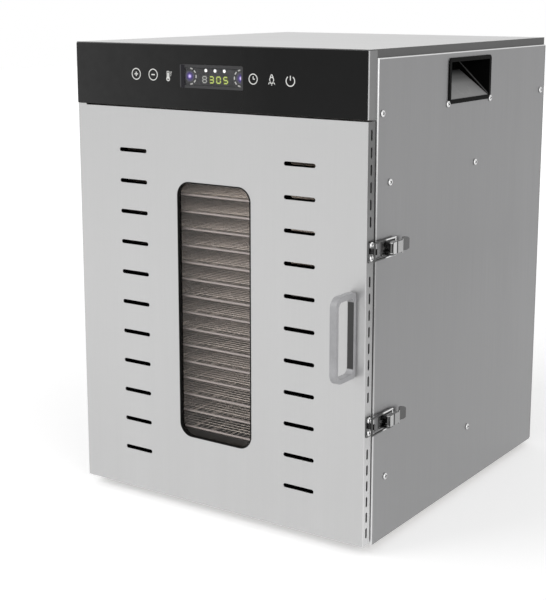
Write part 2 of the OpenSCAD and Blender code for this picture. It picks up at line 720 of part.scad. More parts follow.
// Moulded finger cup: a rim outside the panel, a floor that rises inwards, screw lugs behind
module handle_cup(s) in_frame() side(s) color(black_plastic) translate([0, cup_y, cup_z]) {
    mh = cup_mouth_h / 2;
    mw = cup_mouth_w / 2;
    step = mh * 1.35;
    difference() {
        union() {
            plate_yz(half_w, cup_proud) rrc(cup_w, cup_h, 5);
            plate_yz(panel_in - eps, sheet_t + 2 * eps) rrc(cup_w - cup_rim - 2 * fit_gap, cup_h - cup_rim - 2 * fit_gap, 4);
            translate([0, mw + cup_wall, 0]) rotate([90, 0, 0]) linear_extrude(2 * (mw + cup_wall))
                polygon([[panel_in, -mh - cup_wall], [panel_in, mh + cup_wall],
                         [half_w - cup_depth - cup_wall, mh + cup_wall],
                         [half_w - cup_depth - cup_wall, step - mh - cup_wall]]);
            for (y = [-1, 1]) box([panel_in - 5, y * (cup_screw_dy - 3) - 6, cup_screw_z - cup_z - 5],
                [panel_in, y * (cup_screw_dy - 3) + 6, cup_screw_z - cup_z + 8]);
        }
        translate([0, mw, 0]) rotate([90, 0, 0]) linear_extrude(2 * mw)
            polygon([[half_w + cup_proud + 1, -mh], [half_w + cup_proud + 1, mh], [half_w - cup_depth, mh],
                     [half_w - cup_depth, step - mh], [half_w, -mh]]);
        for (y = [-1, 1]) rod_x([panel_in - 6, y * cup_screw_dy, cup_screw_z - cup_z], 7, screw_r + run_gap);
        for (y = [-1, 1]) rod_x([half_w - eps, y * cup_screw_dy, cup_screw_z - cup_z], 5, screw_head_r + fit_gap);
    }
}
module left_handle_cup() handle_cup(-1);
module right_handle_cup() handle_cup(1);

// ---------- case screws ----------

module case_screws() in_frame() color([0.85, 0.85, 0.85]) {
    for (s = [-1, 1]) side(s) {
        for (p = side_nut_screws) translate([half_w, p[0], p[1]]) rotate([0, 90, 0]) screw(nut = 3);
        for (p = rack_screws) translate([half_w, p[0], p[1]]) rotate([0, 90, 0]) screw();
        for (p = cup_screws) translate([half_w, p[0], p[1]]) rotate([0, 90, 0]) screw(5);
    }
    for (s = [-1, 1], z = back_screw_zs) translate([s * back_screw_x, cab_back, z])
        rotate([-90, 0, 0]) screw(6);
    for (a = [45:90:315]) translate([guard_r * cos(a), guard_y + guard_wire_r, fan_z + guard_r * sin(a)])
        rotate([-90, 0, 0]) screw(guard_y + guard_wire_r - back_in);
    for (a = [0:90:270]) translate([bracket_arm_r * cos(a), cab_back, fan_z + bracket_arm_r * sin(a)])
        rotate([-90, 0, 0]) screw(shank_l);
}

// ---------- draw latches ----------

module latch_bases() in_frame() for (z = latch_zs) translate([0, 0, z]) latch_base();

// Base: a plate on the side panel with two ears that carry the lever's pin
module latch_base() color(steel_light) {
    plate_yz(half_w, ear_t) rr(pivot_y - 12, -ear_in - ear_t, pivot_y + 22, ear_in + ear_t, 1.5);
    for (s = [-1, 1]) translate([half_w + eps, pivot_y, s * (ear_in + ear_t / 2)])
        linear_extrude(ear_t, center = true) {
            translate([0, -6]) square([latch_pivot_h, 12]);
            translate([latch_pivot_h, 0]) intersection() {
                circle(6);
                translate([-eps, -6]) square([4, 12]);
            }
        }
    rod_z([pivot_x, pivot_y, -ear_in - ear_t], 2 * (ear_in + ear_t), 1.5);
    for (y = [-8, 17]) rod_x([half_w + ear_t - eps, pivot_y + y, 0], 1, 2);
}

// Lever: a folded channel on the pin, with a flat tail that curls up for the finger
module latch_lever(z) in_frame() translate([0, 0, z]) color(steel_light) {
    top = lever_top;
    tail_x = half_w + 3;
    tail_y = pivot_y + lever_len;
    bend_y = bail_y + 6;
    difference() {
        union() {
            for (s = [-1, 1]) translate([0, 0, s * (lever_half - lever_t / 2)])
                linear_extrude(lever_t, center = true) difference() {
                    union() {
                        translate([pivot_x, pivot_y]) circle(3);
                        translate([bail_x, bail_y]) circle(lug_r);
                        polygon([[lever_top, pivot_y - 2], [lever_top, bail_y + 4], [bail_x, bail_y + lug_r],
                                 [bail_x - lug_r * 0.8, bail_y - lug_r * 0.6], [pivot_x - 2.8, pivot_y + 1], [pivot_x, pivot_y - 3]]);
                    }
                    translate([pivot_x, pivot_y]) circle(1.5 + run_gap);
                    translate([bail_x, bail_y]) circle(bail_r + run_gap);
                }
            linear_extrude(2 * lever_half, center = true)
                translate([top - eps, pivot_y - 2]) square([lever_t, bend_y - pivot_y + 2]);
            intersection() {
                linear_extrude(2 * tail_half, center = true) polygon([
                    [top, bend_y - 2], [top + lever_t, bend_y - 2], [top + lever_t, bend_y],
                    [tail_x + lever_t, tail_y - 9], [tail_x + lever_t + 1, tail_y - 5], [tail_x + lever_t + 4, tail_y],
                    [tail_x + 4, tail_y + 1], [tail_x + 1, tail_y - 4], [tail_x, tail_y - 8.4], [top, bend_y - 0.5]]);
                plate_yz(half_w, lever_top + 10 - half_w) rr(bail_y - 6, -tail_half, tail_y + 1, tail_half, 5.5);
            }
        }
    }
}

// Bail: a closed loop of wire, its back bar turning in the lever and its front bar behind the keeper
module latch_bail(z) in_frame() translate([0, 0, z]) color([0.86, 0.86, 0.87]) {
    for (s = [-1, 1]) rod_y([bail_x, bail_front_y, s * bail_half], bail_y - bail_front_y, bail_r);
    for (y = [bail_front_y, bail_y]) {
        rod_z([bail_x, y, -bail_half], 2 * bail_half, bail_r);
        for (s = [-1, 1]) translate([bail_x, y, s * bail_half]) sphere(bail_r);
    }
}
module upper_latch_lever() latch_lever(latch_zs[0]);
module lower_latch_lever() latch_lever(latch_zs[1]);
module upper_latch_bail() latch_bail(latch_zs[0]);
module lower_latch_bail() latch_bail(latch_zs[1]);

keeper_t = 1.2;
keeper_screw_dz = 7.2;
keeper_half = 12.2;
module latch_keepers() in_frame() for (z = latch_zs) translate([0, 0, z]) latch_keeper();

// Keeper: a plate on the door's edge, its tongue standing behind the bail's front bar
module latch_keeper() color([0.86, 0.86, 0.87]) {
    tongue_y = bail_front_y + bail_r + slide_gap;
    plate_yz(front_half, keeper_t) rr(keeper_y - 5.5, -keeper_half, keeper_y + 5, keeper_half, 2);
    box([front_half + keeper_t - eps, tongue_y, -3.4], [bail_x + 4, tongue_y + keeper_t, 3.4]);
    for (s = [-1, 1]) translate([front_half + keeper_t, keeper_y + 0.8, s * keeper_screw_dz])
        rotate([0, 90, 0]) intersection() {
            translate([0, 0, screw_head_h - 5]) sphere(5);
            cylinder(r = 3.5, h = screw_head_h);
        }
}

// ---------- door ----------

module vent_pattern() for (s = [-1, 1], k = [0:vent_rows - 1])
    translate([s * vent_x, door_mid + (k - (vent_rows - 1) / 2) * vent_pitch]) slot(vent_len, vent_h);

function edge_slot_zs() = [for (g = [[edge_group_z, 6], [0, 8], [-edge_group_z, 6]])
    for (k = [0:g[1] - 1]) door_mid + g[0] + (k - (g[1] - 1) / 2) * edge_slot_pitch];

// Door shell: a folded pan with the window, the vents and a raised hinge tab
module door_shell() in_frame() color(steel_light) difference() {
    union() {
        difference() {
            translate([0, 0, door_z0]) linear_extrude(door_z1 - door_z0) door_plan();
            box([sheet_t - front_half, sheet_t, door_z0 + sheet_t], [front_half - sheet_t, door_t + 1, door_z1 - sheet_t]);
        }
        translate([0, 0, door_z1 - sheet_t]) linear_extrude(hinge_tab_h + sheet_t) intersection() {
            door_plan();
            translate([-front_half, 0]) square([hinge_tab_w, door_t]);
        }
    }
    plate_xz(-1, sheet_t + 2) {
        translate([0, door_mid]) rrc(window_w + 2 * lining_t, window_h + 2 * lining_t, window_r + lining_t);
        vent_pattern();
    }
    for (z = edge_slot_zs()) plate_yz(front_half - 2 * sheet_t, 4 * sheet_t)
        translate([hinge_y - 0.4, z]) rotate(90) slot(edge_slot_len, edge_slot_w);
    rod_z([hinge_x, hinge_y, door_z0 - 1], door_z1 - door_z0 + 10, hinge_pin_r + slide_gap);
}

// Plan of the door: its front corners are folded round
module door_plan() {
    translate([-front_half, bend_r]) square([2 * front_half, door_t - bend_r]);
    translate([bend_r - front_half, 0]) square([2 * (front_half - bend_r), door_t]);
    for (s = [-1, 1]) translate([s * (front_half - bend_r), bend_r]) circle(bend_r);
}

module door_inner_panel() in_frame() color(steel_inner) {
    gap = sheet_t + fit_gap;
    plate_xz(door_in, sheet_t) difference() {
        rr(gap - front_half, door_z0 + gap, front_half - gap, door_z1 - gap, 2);
        translate([0, door_mid]) inner_window();
        vent_pattern();
    }
    plate_xz(lining_back + fit_gap, door_in - lining_back - fit_gap + eps) translate([0, door_mid]) difference() {
        inner_window(sheet_t);
        inner_window();
    }
}

// The inner panel's window, whose edge is turned forward to meet the rubber lining
module inner_window(wall = 0) let (w = 2 * (lining_w + wall))
    rrc(window_w + w, window_h + w, window_r + lining_w + wall);

module door_glass() in_frame() color([0.3, 0.3, 0.3, 0.4]) plate_xz(glass_inset, glass_t)
    translate([0, door_mid]) rrc(window_w + lining_w, window_h + lining_w, window_r);

// Window gasket: lines the opening and holds the pane all round
module window_gasket() in_frame() color(rubber) difference() {
    union() {
        plate_xz(-lining_lip, glass_inset) translate([0, door_mid])
            rrc(window_w + 2 * lining_t - 2 * eps, window_h + 2 * lining_t - 2 * eps, window_r + lining_t);
        plate_xz(sheet_t, lining_back - sheet_t) translate([0, door_mid])
            rrc(window_w + 2 * lining_w, window_h + 2 * lining_w, window_r + lining_w / 2);
    }
    plate_xz(-lining_lip - 1, glass_inset + lining_lip + 2) translate([0, door_mid]) rrc(window_w, window_h, window_r);
    plate_xz(glass_inset + 0.5, door_t) translate([0, door_mid])
        rrc(window_w + 2 * lining_rear, window_h + 2 * lining_rear, window_r + lining_rear);
    plate_xz(glass_inset, glass_t) translate([0, door_mid])
        rrc(window_w + lining_w + 0.1, window_h + lining_w + 0.1, window_r + 0.05);
}

// Door seal: a rubber strip round the chamber's mouth
module door_seal() in_frame() color(rubber) plate_xz(door_t, frame_y - door_t - slide_gap) difference() {
    g = 1.2;
    rr(-cavity_half - g - seal_w, cavity_z0 - g - seal_w, cavity_half + g + seal_w, cavity_z1 + g + seal_w, 8);
    rr(-cavity_half - g, cavity_z0 - g, cavity_half + g, cavity_z1 + g, 4);
}

// Door handle: a closed loop, seen in its own plane across the door
module door_handle() in_frame() color([0.62, 0.62, 0.63]) translate([0, 0, handle_z])
    plate_yz(handle_x - handle_w / 2, handle_w) difference() {
        union() {
            rr(-handle_reach, -handle_h / 2, -eps, handle_h / 2, 12);
            rr(-20, -handle_h / 2, -eps, handle_h / 2, 4);
        }
        rr(handle_bar_t - handle_reach, 6 - handle_h / 2, -handle_base_t, handle_h / 2 - 6, 7);
    }

// Bearing blocks inside the door's hinge corners
module hinge_blocks() in_frame() color("white") for (z = [door_z0 + sheet_t, door_z1 - sheet_t - hinge_block])
    difference() {
        box([sheet_t + 0.1 - front_half, sheet_t + 0.1, z], [hinge_x + 5, door_in - 0.2, z + hinge_block]);
        rod_z([hinge_x, hinge_y, z - 1], hinge_block + 2, hinge_pin_r + run_gap);
    }

// Hinge pins: a headed pin through the control housing, and one welded to a bracket below the door
module hinge_pins() in_frame() color("silver") {
    rod_z([hinge_x, hinge_y, door_z1 - sheet_t - hinge_block], door_seam + 2 * sheet_t + hinge_block, hinge_pin_r);
    rod_z([hinge_x, hinge_y, control_z0 + sheet_t], 2.5, hinge_in - sheet_t - 0.1);
    rod_z([hinge_x, hinge_y, base_z], door_lift + sheet_t + hinge_block, hinge_pin_r);
    translate([0, 0, base_z]) linear_extrude(bracket_t) {
        translate([hinge_x - 5, hinge_y]) square([16, cab_front - hinge_y]);
        translate([hinge_x, hinge_y]) circle(5);
    }
}

// ---------- nodes ----------

top_cover();
left_side_panel();
right_side_panel();
back_panel();
base_pan();
rubber_feet();
front_frame();
control_housing();
touch_panel();
display_lens();
circuit_boards();
liner_left();
liner_right();
liner_ceiling();
liner_floor();
rear_baffle();
left_tray_rack();
right_tray_rack();
drip_tray();
fan_impeller();
fan_motor();
motor_bracket();
fan_guard();
heater_element();
interior_lamp();
temperature_sensor();
power_inlet();
left_handle_cup();
right_handle_cup();
case_screws();
latch_bases();
upper_latch_lever();
upper_latch_bail();
lower_latch_lever();
lower_latch_bail();
latch_keepers();
door_shell();
door_inner_panel();
door_glass();
window_gasket();
door_seal();
door_handle();
hinge_blocks();
hinge_pins();
for (i = [1:tray_count]) tray(i);
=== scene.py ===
import json
import math

import bpy
from bpy.props import FloatProperty, FloatVectorProperty, PointerProperty
from bpy.types import Operator, Panel, PropertyGroup
from mathutils import Matrix, Vector

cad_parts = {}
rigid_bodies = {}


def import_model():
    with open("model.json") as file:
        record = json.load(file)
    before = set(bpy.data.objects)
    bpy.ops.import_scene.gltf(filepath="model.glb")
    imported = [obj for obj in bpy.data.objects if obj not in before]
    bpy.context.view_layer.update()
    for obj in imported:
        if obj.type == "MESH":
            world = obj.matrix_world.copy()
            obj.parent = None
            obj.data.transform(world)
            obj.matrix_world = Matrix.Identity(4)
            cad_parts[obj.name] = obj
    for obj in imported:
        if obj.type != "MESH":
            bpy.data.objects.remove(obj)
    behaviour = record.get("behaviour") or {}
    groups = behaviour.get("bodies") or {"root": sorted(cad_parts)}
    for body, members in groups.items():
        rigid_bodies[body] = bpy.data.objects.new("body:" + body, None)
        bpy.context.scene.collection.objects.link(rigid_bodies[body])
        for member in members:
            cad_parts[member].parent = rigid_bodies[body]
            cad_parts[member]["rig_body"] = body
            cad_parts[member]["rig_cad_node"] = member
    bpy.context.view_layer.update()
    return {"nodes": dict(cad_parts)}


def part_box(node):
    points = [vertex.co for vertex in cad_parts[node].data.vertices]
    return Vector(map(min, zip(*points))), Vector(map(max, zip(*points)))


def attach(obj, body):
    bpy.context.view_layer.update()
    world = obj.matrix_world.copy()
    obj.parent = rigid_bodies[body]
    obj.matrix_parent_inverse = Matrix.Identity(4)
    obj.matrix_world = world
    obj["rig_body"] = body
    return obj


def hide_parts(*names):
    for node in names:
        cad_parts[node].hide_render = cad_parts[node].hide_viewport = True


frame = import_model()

bl_info = {
    "name": "Cabinet Food Dehydrator",
    "version": (1, 0, 0),
    "blender": (4, 5, 0),
    "location": "View3D > Sidebar > Dehydrator",
    "description": "Dresses a cabinet food dehydrator: finishes, wire trays, screws and controls",
    "category": "Object",
}

MM = 0.001

# Reference places, all taken from the frame's own parts
DOOR_LO, DOOR_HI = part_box("door_shell")
PANEL_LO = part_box("touch_panel")[0]
LENS_LO, LENS_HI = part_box("display_lens")
LENS_MID = (LENS_LO + LENS_HI) / 2
MID_X = (DOOR_LO.x + DOOR_HI.x) / 2
DOOR_MID_Z = (DOOR_LO.z + DOOR_HI.z) / 2
TRAYS = sorted(n for n in frame["nodes"] if n.startswith("tray_"))

# The digits stand right of the lens's middle, with a round light and its ticks on either side
SHOW_X = LENS_MID.x + 5.1 * MM
BEACON_REACH, BEACON_RADIUS = 36.6 * MM, 6.4 * MM
TICK_REACH, TICK_LONG, TICK_WIDE, TICK_TURN = 9.2 * MM, 3.6 * MM, 1.6 * MM, math.radians(37)
DIGITS_DOWN, DOTS_UP, DOT_PITCH, DOT_RADIUS = 6.6 * MM, 7.2 * MM, 13.2 * MM, 2 * MM

# Trays: corner bend, rods under the fine wires, gap at the wires' ends, heights of the two layers
TRAY_CORNER, TRAY_RODS, TRAY_ROD, WIRE_GAP = 14 * MM, 13, 2 * MM, 0.2 * MM
LONG_LAYER, CROSS_LAYER = 0.45 * MM, MM

# Pan-head screw: head, rounding, cross recess, shank, and the turn from each screw to the next
HEAD_RADIUS, HEAD_TALL, HEAD_ROUND = 4 * MM, 1.8 * MM, 1.3 * MM
RECESS_LONG, RECESS_WIDE = 4.4 * MM, 1.1 * MM
SHANK_RADIUS, SHANK_LONG, SCREW_TURN = 1.9 * MM, 9 * MM, math.radians(37)

# Edge rounding: points this close are welded, flatter edges vanish and sharper ones are rounded
WELD_GAP, FLAT_ANGLE, SHARP_ANGLE = 0.002 * MM, math.radians(0.6), math.radians(32)

# The floor, and where it fades to a whiter far part; each large lamp's place, target and size
FLOOR_SIZE, FLOOR_FADE, FAR_WHITE = 14, (0.5, 2.5), 0.25
KEY_LAMP = (-1.6, -2.0, 1.9), (0, 0, 0.3), (1.8, 1.8)
RIM_LAMP = (2.1, -1.5, 1.0), (0.1, -0.1, 0.3), (1.2, 1.6)
SENSOR_WIDTH = 36  # in millimetres


# ---- settings

class DehydratorSizes(PropertyGroup):
    edge_round: FloatProperty(
        name="Sheet edge", description="Rounding of the sheet's cut edges", default=0.35 * MM,
        unit="LENGTH")
    moulded_round: FloatProperty(
        name="Moulded edge", description="Rounding of moulded plastic edges", default=0.9 * MM,
        unit="LENGTH")
    mesh_pitch: FloatProperty(
        name="Mesh pitch", description="Distance between the trays' fine wires", default=7.5 * MM,
        unit="LENGTH")
    mesh_wire: FloatProperty(
        name="Mesh wire", description="Diameter of the trays' fine wires", default=0.9 * MM,
        unit="LENGTH")
    symbol_line: FloatProperty(
        name="Symbol line", description="Width of the touch symbols' strokes", default=1.1 * MM,
        unit="LENGTH")
    symbol_radius: FloatProperty(
        name="Symbol radius", description="Radius of the round touch symbols", default=6.4 * MM,
        unit="LENGTH")
    digit_height: FloatProperty(
        name="Digit height", description="Height of the display's digits", default=7 * MM,
        unit="LENGTH")
    display_depth: FloatProperty(
        name="Display depth", description="Depth of the digits behind the panel's face",
        default=1.15 * MM, unit="LENGTH")
    recess_depth: FloatProperty(
        name="Screw recess", description="Depth of the screws' cross recess", default=1.1 * MM,
        unit="LENGTH")


class DehydratorFinish(PropertyGroup):
    door_steel: FloatVectorProperty(
        name="Door steel", description="Colour of the door and control housing", subtype="COLOR",
        default=(0.54, 0.54, 0.54), min=0, max=1)
    # The side and back panels' tone is partly their steel's own and partly painted shade, for sides
    # that face away from the light
    side_steel: FloatVectorProperty(
        name="Side steel", description="Colour of the side and back panels", subtype="COLOR",
        default=(0.255, 0.255, 0.258), min=0, max=1)
    # The top cover's tone is partly its steel's own and partly painted light from above
    top_steel: FloatVectorProperty(
        name="Top steel", description="Colour of the top cover", subtype="COLOR",
        default=(0.71, 0.71, 0.71), min=0, max=1)
    inner_steel: FloatVectorProperty(
        name="Inner steel", description="Colour of the liners and racks", subtype="COLOR",
        default=(0.42, 0.40, 0.38), min=0, max=1)
    bright_steel: FloatVectorProperty(
        name="Bright steel", description="Colour of the latches and screws", subtype="COLOR",
        default=(0.82, 0.82, 0.82), min=0, max=1)
    wire_steel: FloatVectorProperty(
        name="Wire steel", description="Colour of the trays' wires", subtype="COLOR",
        default=(0.5, 0.46, 0.44), min=0, max=1)
    handle_grey: FloatVectorProperty(
        name="Handle grey", description="Colour of the door handle", subtype="COLOR",
        default=(0.36, 0.36, 0.37), min=0, max=1)
    panel_black: FloatVectorProperty(
        name="Panel black", description="Colour of the touch panel", subtype="COLOR",
        default=(0.024, 0.024, 0.024), min=0, max=1)
    symbol_white: FloatVectorProperty(
        name="Symbol white", description="Colour of the touch symbols", subtype="COLOR",
        default=(0.62, 0.62, 0.60), min=0, max=1)
    digit_green: FloatVectorProperty(
        name="Digit green", description="Colour of the lit digits", subtype="COLOR",
        default=(0.50, 0.60, 0.14), min=0, max=1)
    beacon_violet: FloatVectorProperty(
        name="Beacon violet", description="Colour of the lights beside the digits", subtype="COLOR",
        default=(0.42, 0.34, 0.62), min=0, max=1)
    chamber_glow: FloatProperty(
        name="Chamber glow", description="Strength of the chamber lamp", default=6.0, min=0)


class DehydratorStage(PropertyGroup):
    camera_place: FloatVectorProperty(
        name="Camera", description="Place of the camera", subtype="TRANSLATION",
        default=(0.9066, -1.4231, 0.6319))
    camera_turn: FloatProperty(
        name="Turn", description="How far the camera looks to the left", subtype="ANGLE",
        default=math.radians(34.37))
    camera_tilt: FloatProperty(
        name="Tilt", description="How far the camera looks down", subtype="ANGLE",
        default=math.radians(11.42))
    lens: FloatProperty(name="Lens", description="Focal length in millimetres", default=78.52)
    drop: FloatProperty(name="Drop", description="Vertical shift of the lens", default=-0.0733)
    floor_colour: FloatVectorProperty(
        name="Floor", description="Colour of the floor", subtype="COLOR",
        default=(0.9, 0.9, 0.9), min=0, max=1)
    floor_white: FloatProperty(
        name="Floor white", description="Whiteness added to the floor as seen", default=0.38, min=0)
    world_light: FloatProperty(
        name="World", description="Strength of the world's light", default=0.55, min=0)
    key_light: FloatProperty(
        name="Key", description="Power in watts of the large soft lamp", default=26.0, min=0)
    rim_light: FloatProperty(
        name="Rim", description="Power in watts of the lamp at the right", default=14.0, min=0)
    chamber_light: FloatProperty(
        name="Chamber", description="Power in watts of the warm light inside", default=0.36, min=0)


# ---- materials

def material(name):
    """A new material with a Texture Coordinate node."""
    mat = bpy.data.materials.new(name)
    mat.use_nodes = True
    tree = mat.node_tree
    tree.nodes.new("ShaderNodeTexCoord")
    return mat, tree, tree.nodes["Principled BSDF"]


def stretched_noise(tree, scale, detail):
    """Noise read through a Mapping node, so that each axis has its own scale."""
    mapping = tree.nodes.new("ShaderNodeMapping")
    mapping.inputs["Scale"].default_value = scale
    noise = tree.nodes.new("ShaderNodeTexNoise")
    noise.inputs["Scale"].default_value = 1.0
    noise.inputs["Detail"].default_value = detail
    noise.inputs["Roughness"].default_value = 0.6
    at = tree.nodes["Texture Coordinate"].outputs["Object"]
    tree.links.new(at, mapping.inputs["Vector"])
    tree.links.new(mapping.outputs["Vector"], noise.inputs["Vector"])
    return noise.outputs["Fac"]


def ramp_up(tree, value, start, end, low=0.0, high=1.0):
    """Low before start and high past end, for any number in the material."""
    node = tree.nodes.new("ShaderNodeMapRange")
    for key, number in (("From Min", start), ("From Max", end), ("To Min", low), ("To Max", high)):
        node.inputs[key].default_value = number
    tree.links.new(value, node.inputs["Value"])
    return node.outputs["Result"]


def remap(tree, noise, low, high):
    """Spreads a noise's middle range from low to high."""
    return ramp_up(tree, noise, 0.3, 0.7, low, high)


def tinted(tree, factor, dark, light):
    """A colour that goes from dark to light with the factor."""
    ramp = tree.nodes.new("ShaderNodeMix")
    ramp.data_type = "RGBA"
    ramp.inputs["A"].default_value = (*dark, 1)
    ramp.inputs["B"].default_value = (*light, 1)
    tree.links.new(factor, ramp.inputs["Factor"])
    return ramp.outputs["Result"]


def mottled(tree, bsdf, noise, colour, low, high):
    """A base colour that the noise makes a little darker or paler."""
    base = tinted(tree, remap(tree, noise, 0, 1), shade(colour, low), shade(colour, high))
    tree.links.new(base, bsdf.inputs["Base Color"])
    return base


def bump(tree, bsdf, height, distance, strength):
    """Lifts the surface's shading by the height."""
    node = tree.nodes.new("ShaderNodeBump")
    node.inputs["Strength"].default_value = strength
    node.inputs["Distance"].default_value = distance
    tree.links.new(height, node.inputs["Height"])
    tree.links.new(node.outputs["Normal"], bsdf.inputs["Normal"])


def grey(tone):
    """A colour without a tint."""
    return (tone, tone, tone)


def shade(colour, factor):
    """The colour made darker or paler."""
    return tuple(min(1.0, c * factor) for c in colour)


def place_of(tree, kind="Object"):
    """The X, Y and Z outputs of the object's own coordinates, or of its normal."""
    split = tree.nodes.new("ShaderNodeSeparateXYZ")
    tree.links.new(tree.nodes["Texture Coordinate"].outputs[kind], split.inputs["Vector"])
    return split.outputs


def calc(tree, how, *values):
    """One step of arithmetic; each value is another node's output or a plain number."""
    node = tree.nodes.new("ShaderNodeMath")
    node.operation = how
    for value, socket in zip(values, node.inputs):
        if isinstance(value, (int, float)):
            socket.default_value = value
        else:
            tree.links.new(value, socket)
    return node.outputs["Value"]


def both(tree, a, b):
    """1 where both a and b are 1."""
    return calc(tree, "MULTIPLY", a, b)


def either(tree, a, b):
    """The larger of a and b."""
    return calc(tree, "MAXIMUM", a, b)


def away_from(tree, value, middle):
    """How far the value lies from a middle, on either side."""
    return calc(tree, "ABSOLUTE", calc(tree, "SUBTRACT", value, middle))


def distance(tree, a, b):
    """The length of the vector whose two parts are a and b."""
    pair = tree.nodes.new("ShaderNodeCombineXYZ")
    tree.links.new(a, pair.inputs["X"])
    tree.links.new(b, pair.inputs["Y"])
    length = tree.nodes.new("ShaderNodeVectorMath")
    length.operation = "LENGTH"
    tree.links.new(pair.outputs["Vector"], length.inputs[0])
    return length.outputs["Value"]


def recolour(tree, factor, colour):
    """Lays a second colour over the base colour where the factor is 1."""
    socket = tree.nodes["Principled BSDF"].inputs["Base Color"]
    mix = tree.nodes.new("ShaderNodeMix")
    mix.data_type = "RGBA"
    if socket.is_linked:
        tree.links.new(socket.links[0].from_socket, mix.inputs["A"])
    else:
        mix.inputs["A"].default_value = socket.default_value
    if isinstance(colour, tuple):
        mix.inputs["B"].default_value = (*colour, 1)
    else:
        tree.links.new(colour, mix.inputs["B"])
    tree.links.new(factor, mix.inputs["Factor"])
    tree.links.new(mix.outputs["Result"], socket)


def brushed(name, colour, streak, rough, along="Z", metallic=1.0, grain=0.12):
    """Sheet steel with fine strokes along one axis and broad, faint bands."""
    mat, tree, bsdf = material(name)
    strokes = stretched_noise(tree, [9 if axis == along else 2400 for axis in "XYZ"], detail=3)
    bands = stretched_noise(tree, [1.2 if axis == along else 26 for axis in "XYZ"], detail=2)
    mottled(tree, bsdf, bands, colour, 1 - streak, 1 + streak)
    tree.links.new(remap(tree, strokes, *rough), bsdf.inputs["Roughness"])
    bsdf.inputs["Metallic"].default_value = metallic
    bump(tree, bsdf, strokes, 0.04 * MM, grain)
    return mat


def polished(name, colour, rough=(0.08, 0.2), metallic=1.0):
    """Plated or polished steel with faint wear marks."""
    mat, tree, bsdf = material(name)
    marks = stretched_noise(tree, (700, 700, 220), detail=5)
    mottled(tree, bsdf, marks, colour, 0.93, 1.05)
    tree.links.new(remap(tree, marks, *rough), bsdf.inputs["Roughness"])
    bsdf.inputs["Metallic"].default_value = metallic
    bump(tree, bsdf, marks, 0.02 * MM, 0.1)
    return mat


def moulded(name, colour, rough, grain=1600, depth=0.03 * MM, specular=0.5):
    """Moulded plastic or rubber with a fine grain."""
    mat, tree, bsdf = material(name)
    pits = stretched_noise(tree, [grain] * 3, detail=3)
    wear = stretched_noise(tree, [60] * 3, detail=4)
    mottled(tree, bsdf, wear, colour, 0.9, 1.12)
    tree.links.new(remap(tree, wear, *rough), bsdf.inputs["Roughness"])
    bsdf.inputs["Specular IOR Level"].default_value = specular
    bump(tree, bsdf, pits, depth, 0.25)
    return mat


def glowing(name, colour, strength):
    """A lamp or a lit mark, slightly cloudy."""
    mat, tree, bsdf = material(name)
    cloud = stretched_noise(tree, [900] * 3, detail=2)
    base = mottled(tree, bsdf, cloud, colour, 0.92, 1.05)
    tree.links.new(base, bsdf.inputs["Emission Color"])
    bsdf.inputs["Emission Strength"].default_value = strength
    return mat


def clear_pane(name, colour, alpha, rough, specular=0.5):
    """A smoked see-through pane with faint smears."""
    mat, tree, bsdf = material(name)
    smear = stretched_noise(tree, (30, 30, 14), detail=4)
    tree.links.new(remap(tree, smear, rough * 0.8, rough * 1.6), bsdf.inputs["Roughness"])
    bsdf.inputs["Base Color"].default_value = (*colour, 1)
    bsdf.inputs["Alpha"].default_value = alpha
    bsdf.inputs["IOR"].default_value = 1.5
    bsdf.inputs["Specular IOR Level"].default_value = specular
    return mat


FINISHES = {}


def paint_flange_shade():
    """The top cover's down-turned flange is painted darker than its face, as painted shade."""
    tree = FINISHES["top"].node_tree
    recolour(tree, ramp_up(tree, place_of(tree, "Normal")["Z"], 0.8, 0.5), grey(0.115))


def paint_bend_highlights():
    """The side panels' front and top bends carry a painted highlight, and the panels are painted
    paler towards the bottom as painted light.
    """
    tree = FINISHES["side"].node_tree
    at = place_of(tree)
    lo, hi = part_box("right_side_panel")
    front = ramp_up(tree, at["Y"], lo.y + 1.4 * MM, lo.y + 1.1 * MM)
    top = ramp_up(tree, at["Z"], hi.z - 1.4 * MM, hi.z - 1.1 * MM)
    # Painted light: the panels grow paler towards the bottom
    recolour(tree, ramp_up(tree, at["Z"], 0.32, -0.1), (0.367, 0.367, 0.37))
    # The bends' painted highlight is dimmer at mid-height than near the top and bottom
    height = ramp_up(tree, away_from(tree, at["Z"], 0.3), 0.03, 0.25)
    tone = tinted(tree, height, grey(0.28), grey(0.68))
    recolour(tree, either(tree, front, top), tone)


def paint_door_shade():
    """The door is painted slightly darker towards its top, and its folded sides much darker, as
    painted shade.
    """
    tree = FINISHES["door"].node_tree
    at = place_of(tree)
    recolour(tree, ramp_up(tree, at["Z"], 0, 0.5), grey(0.446))
    tone = tinted(tree, ramp_up(tree, at["Z"], 0.05, 0.42), grey(0.68), grey(0.15))
    outward = ramp_up(tree, away_from(tree, place_of(tree, "Normal")["X"], 0), 0.6, 0.8)
    recolour(tree, outward, tone)
    # The housing's sides near the top are painted darker still, as painted shade
    housing = ramp_up(tree, at["Z"], DOOR_HI.z - MM, DOOR_HI.z)
    recolour(tree, both(tree, outward, housing), grey(0.21))


def paint_lining_shade():
    """The lining is painted black on the side that faces the door's shell, as painted shade seen
    through the door's slots.
    """
    tree = FINISHES["lining"].node_tree
    recolour(tree, ramp_up(tree, place_of(tree, "Normal")["Y"], -0.5, -0.8), grey(0.004))


def paint_handle_shade():
    """The strip at the bottom of the handle's loop is painted dark, as painted shade deep inside the
    loop.
    """
    tree = FINISHES["handle"].node_tree
    at = place_of(tree)
    lo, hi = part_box("door_handle")
    mid, half = (lo + hi) / 2, (hi - lo) / 2
    deep = ramp_up(tree, at["Y"], hi.y - 5.6 * MM, hi.y - 5.2 * MM)
    narrow = ramp_up(tree, away_from(tree, at["X"], mid.x), half.x - 0.4 * MM, half.x - 0.7 * MM)
    inside = ramp_up(tree, away_from(tree, at["Z"], mid.z), half.z - 5 * MM, half.z - 7 * MM)
    recolour(tree, both(tree, both(tree, deep, narrow), inside), grey(0.008))


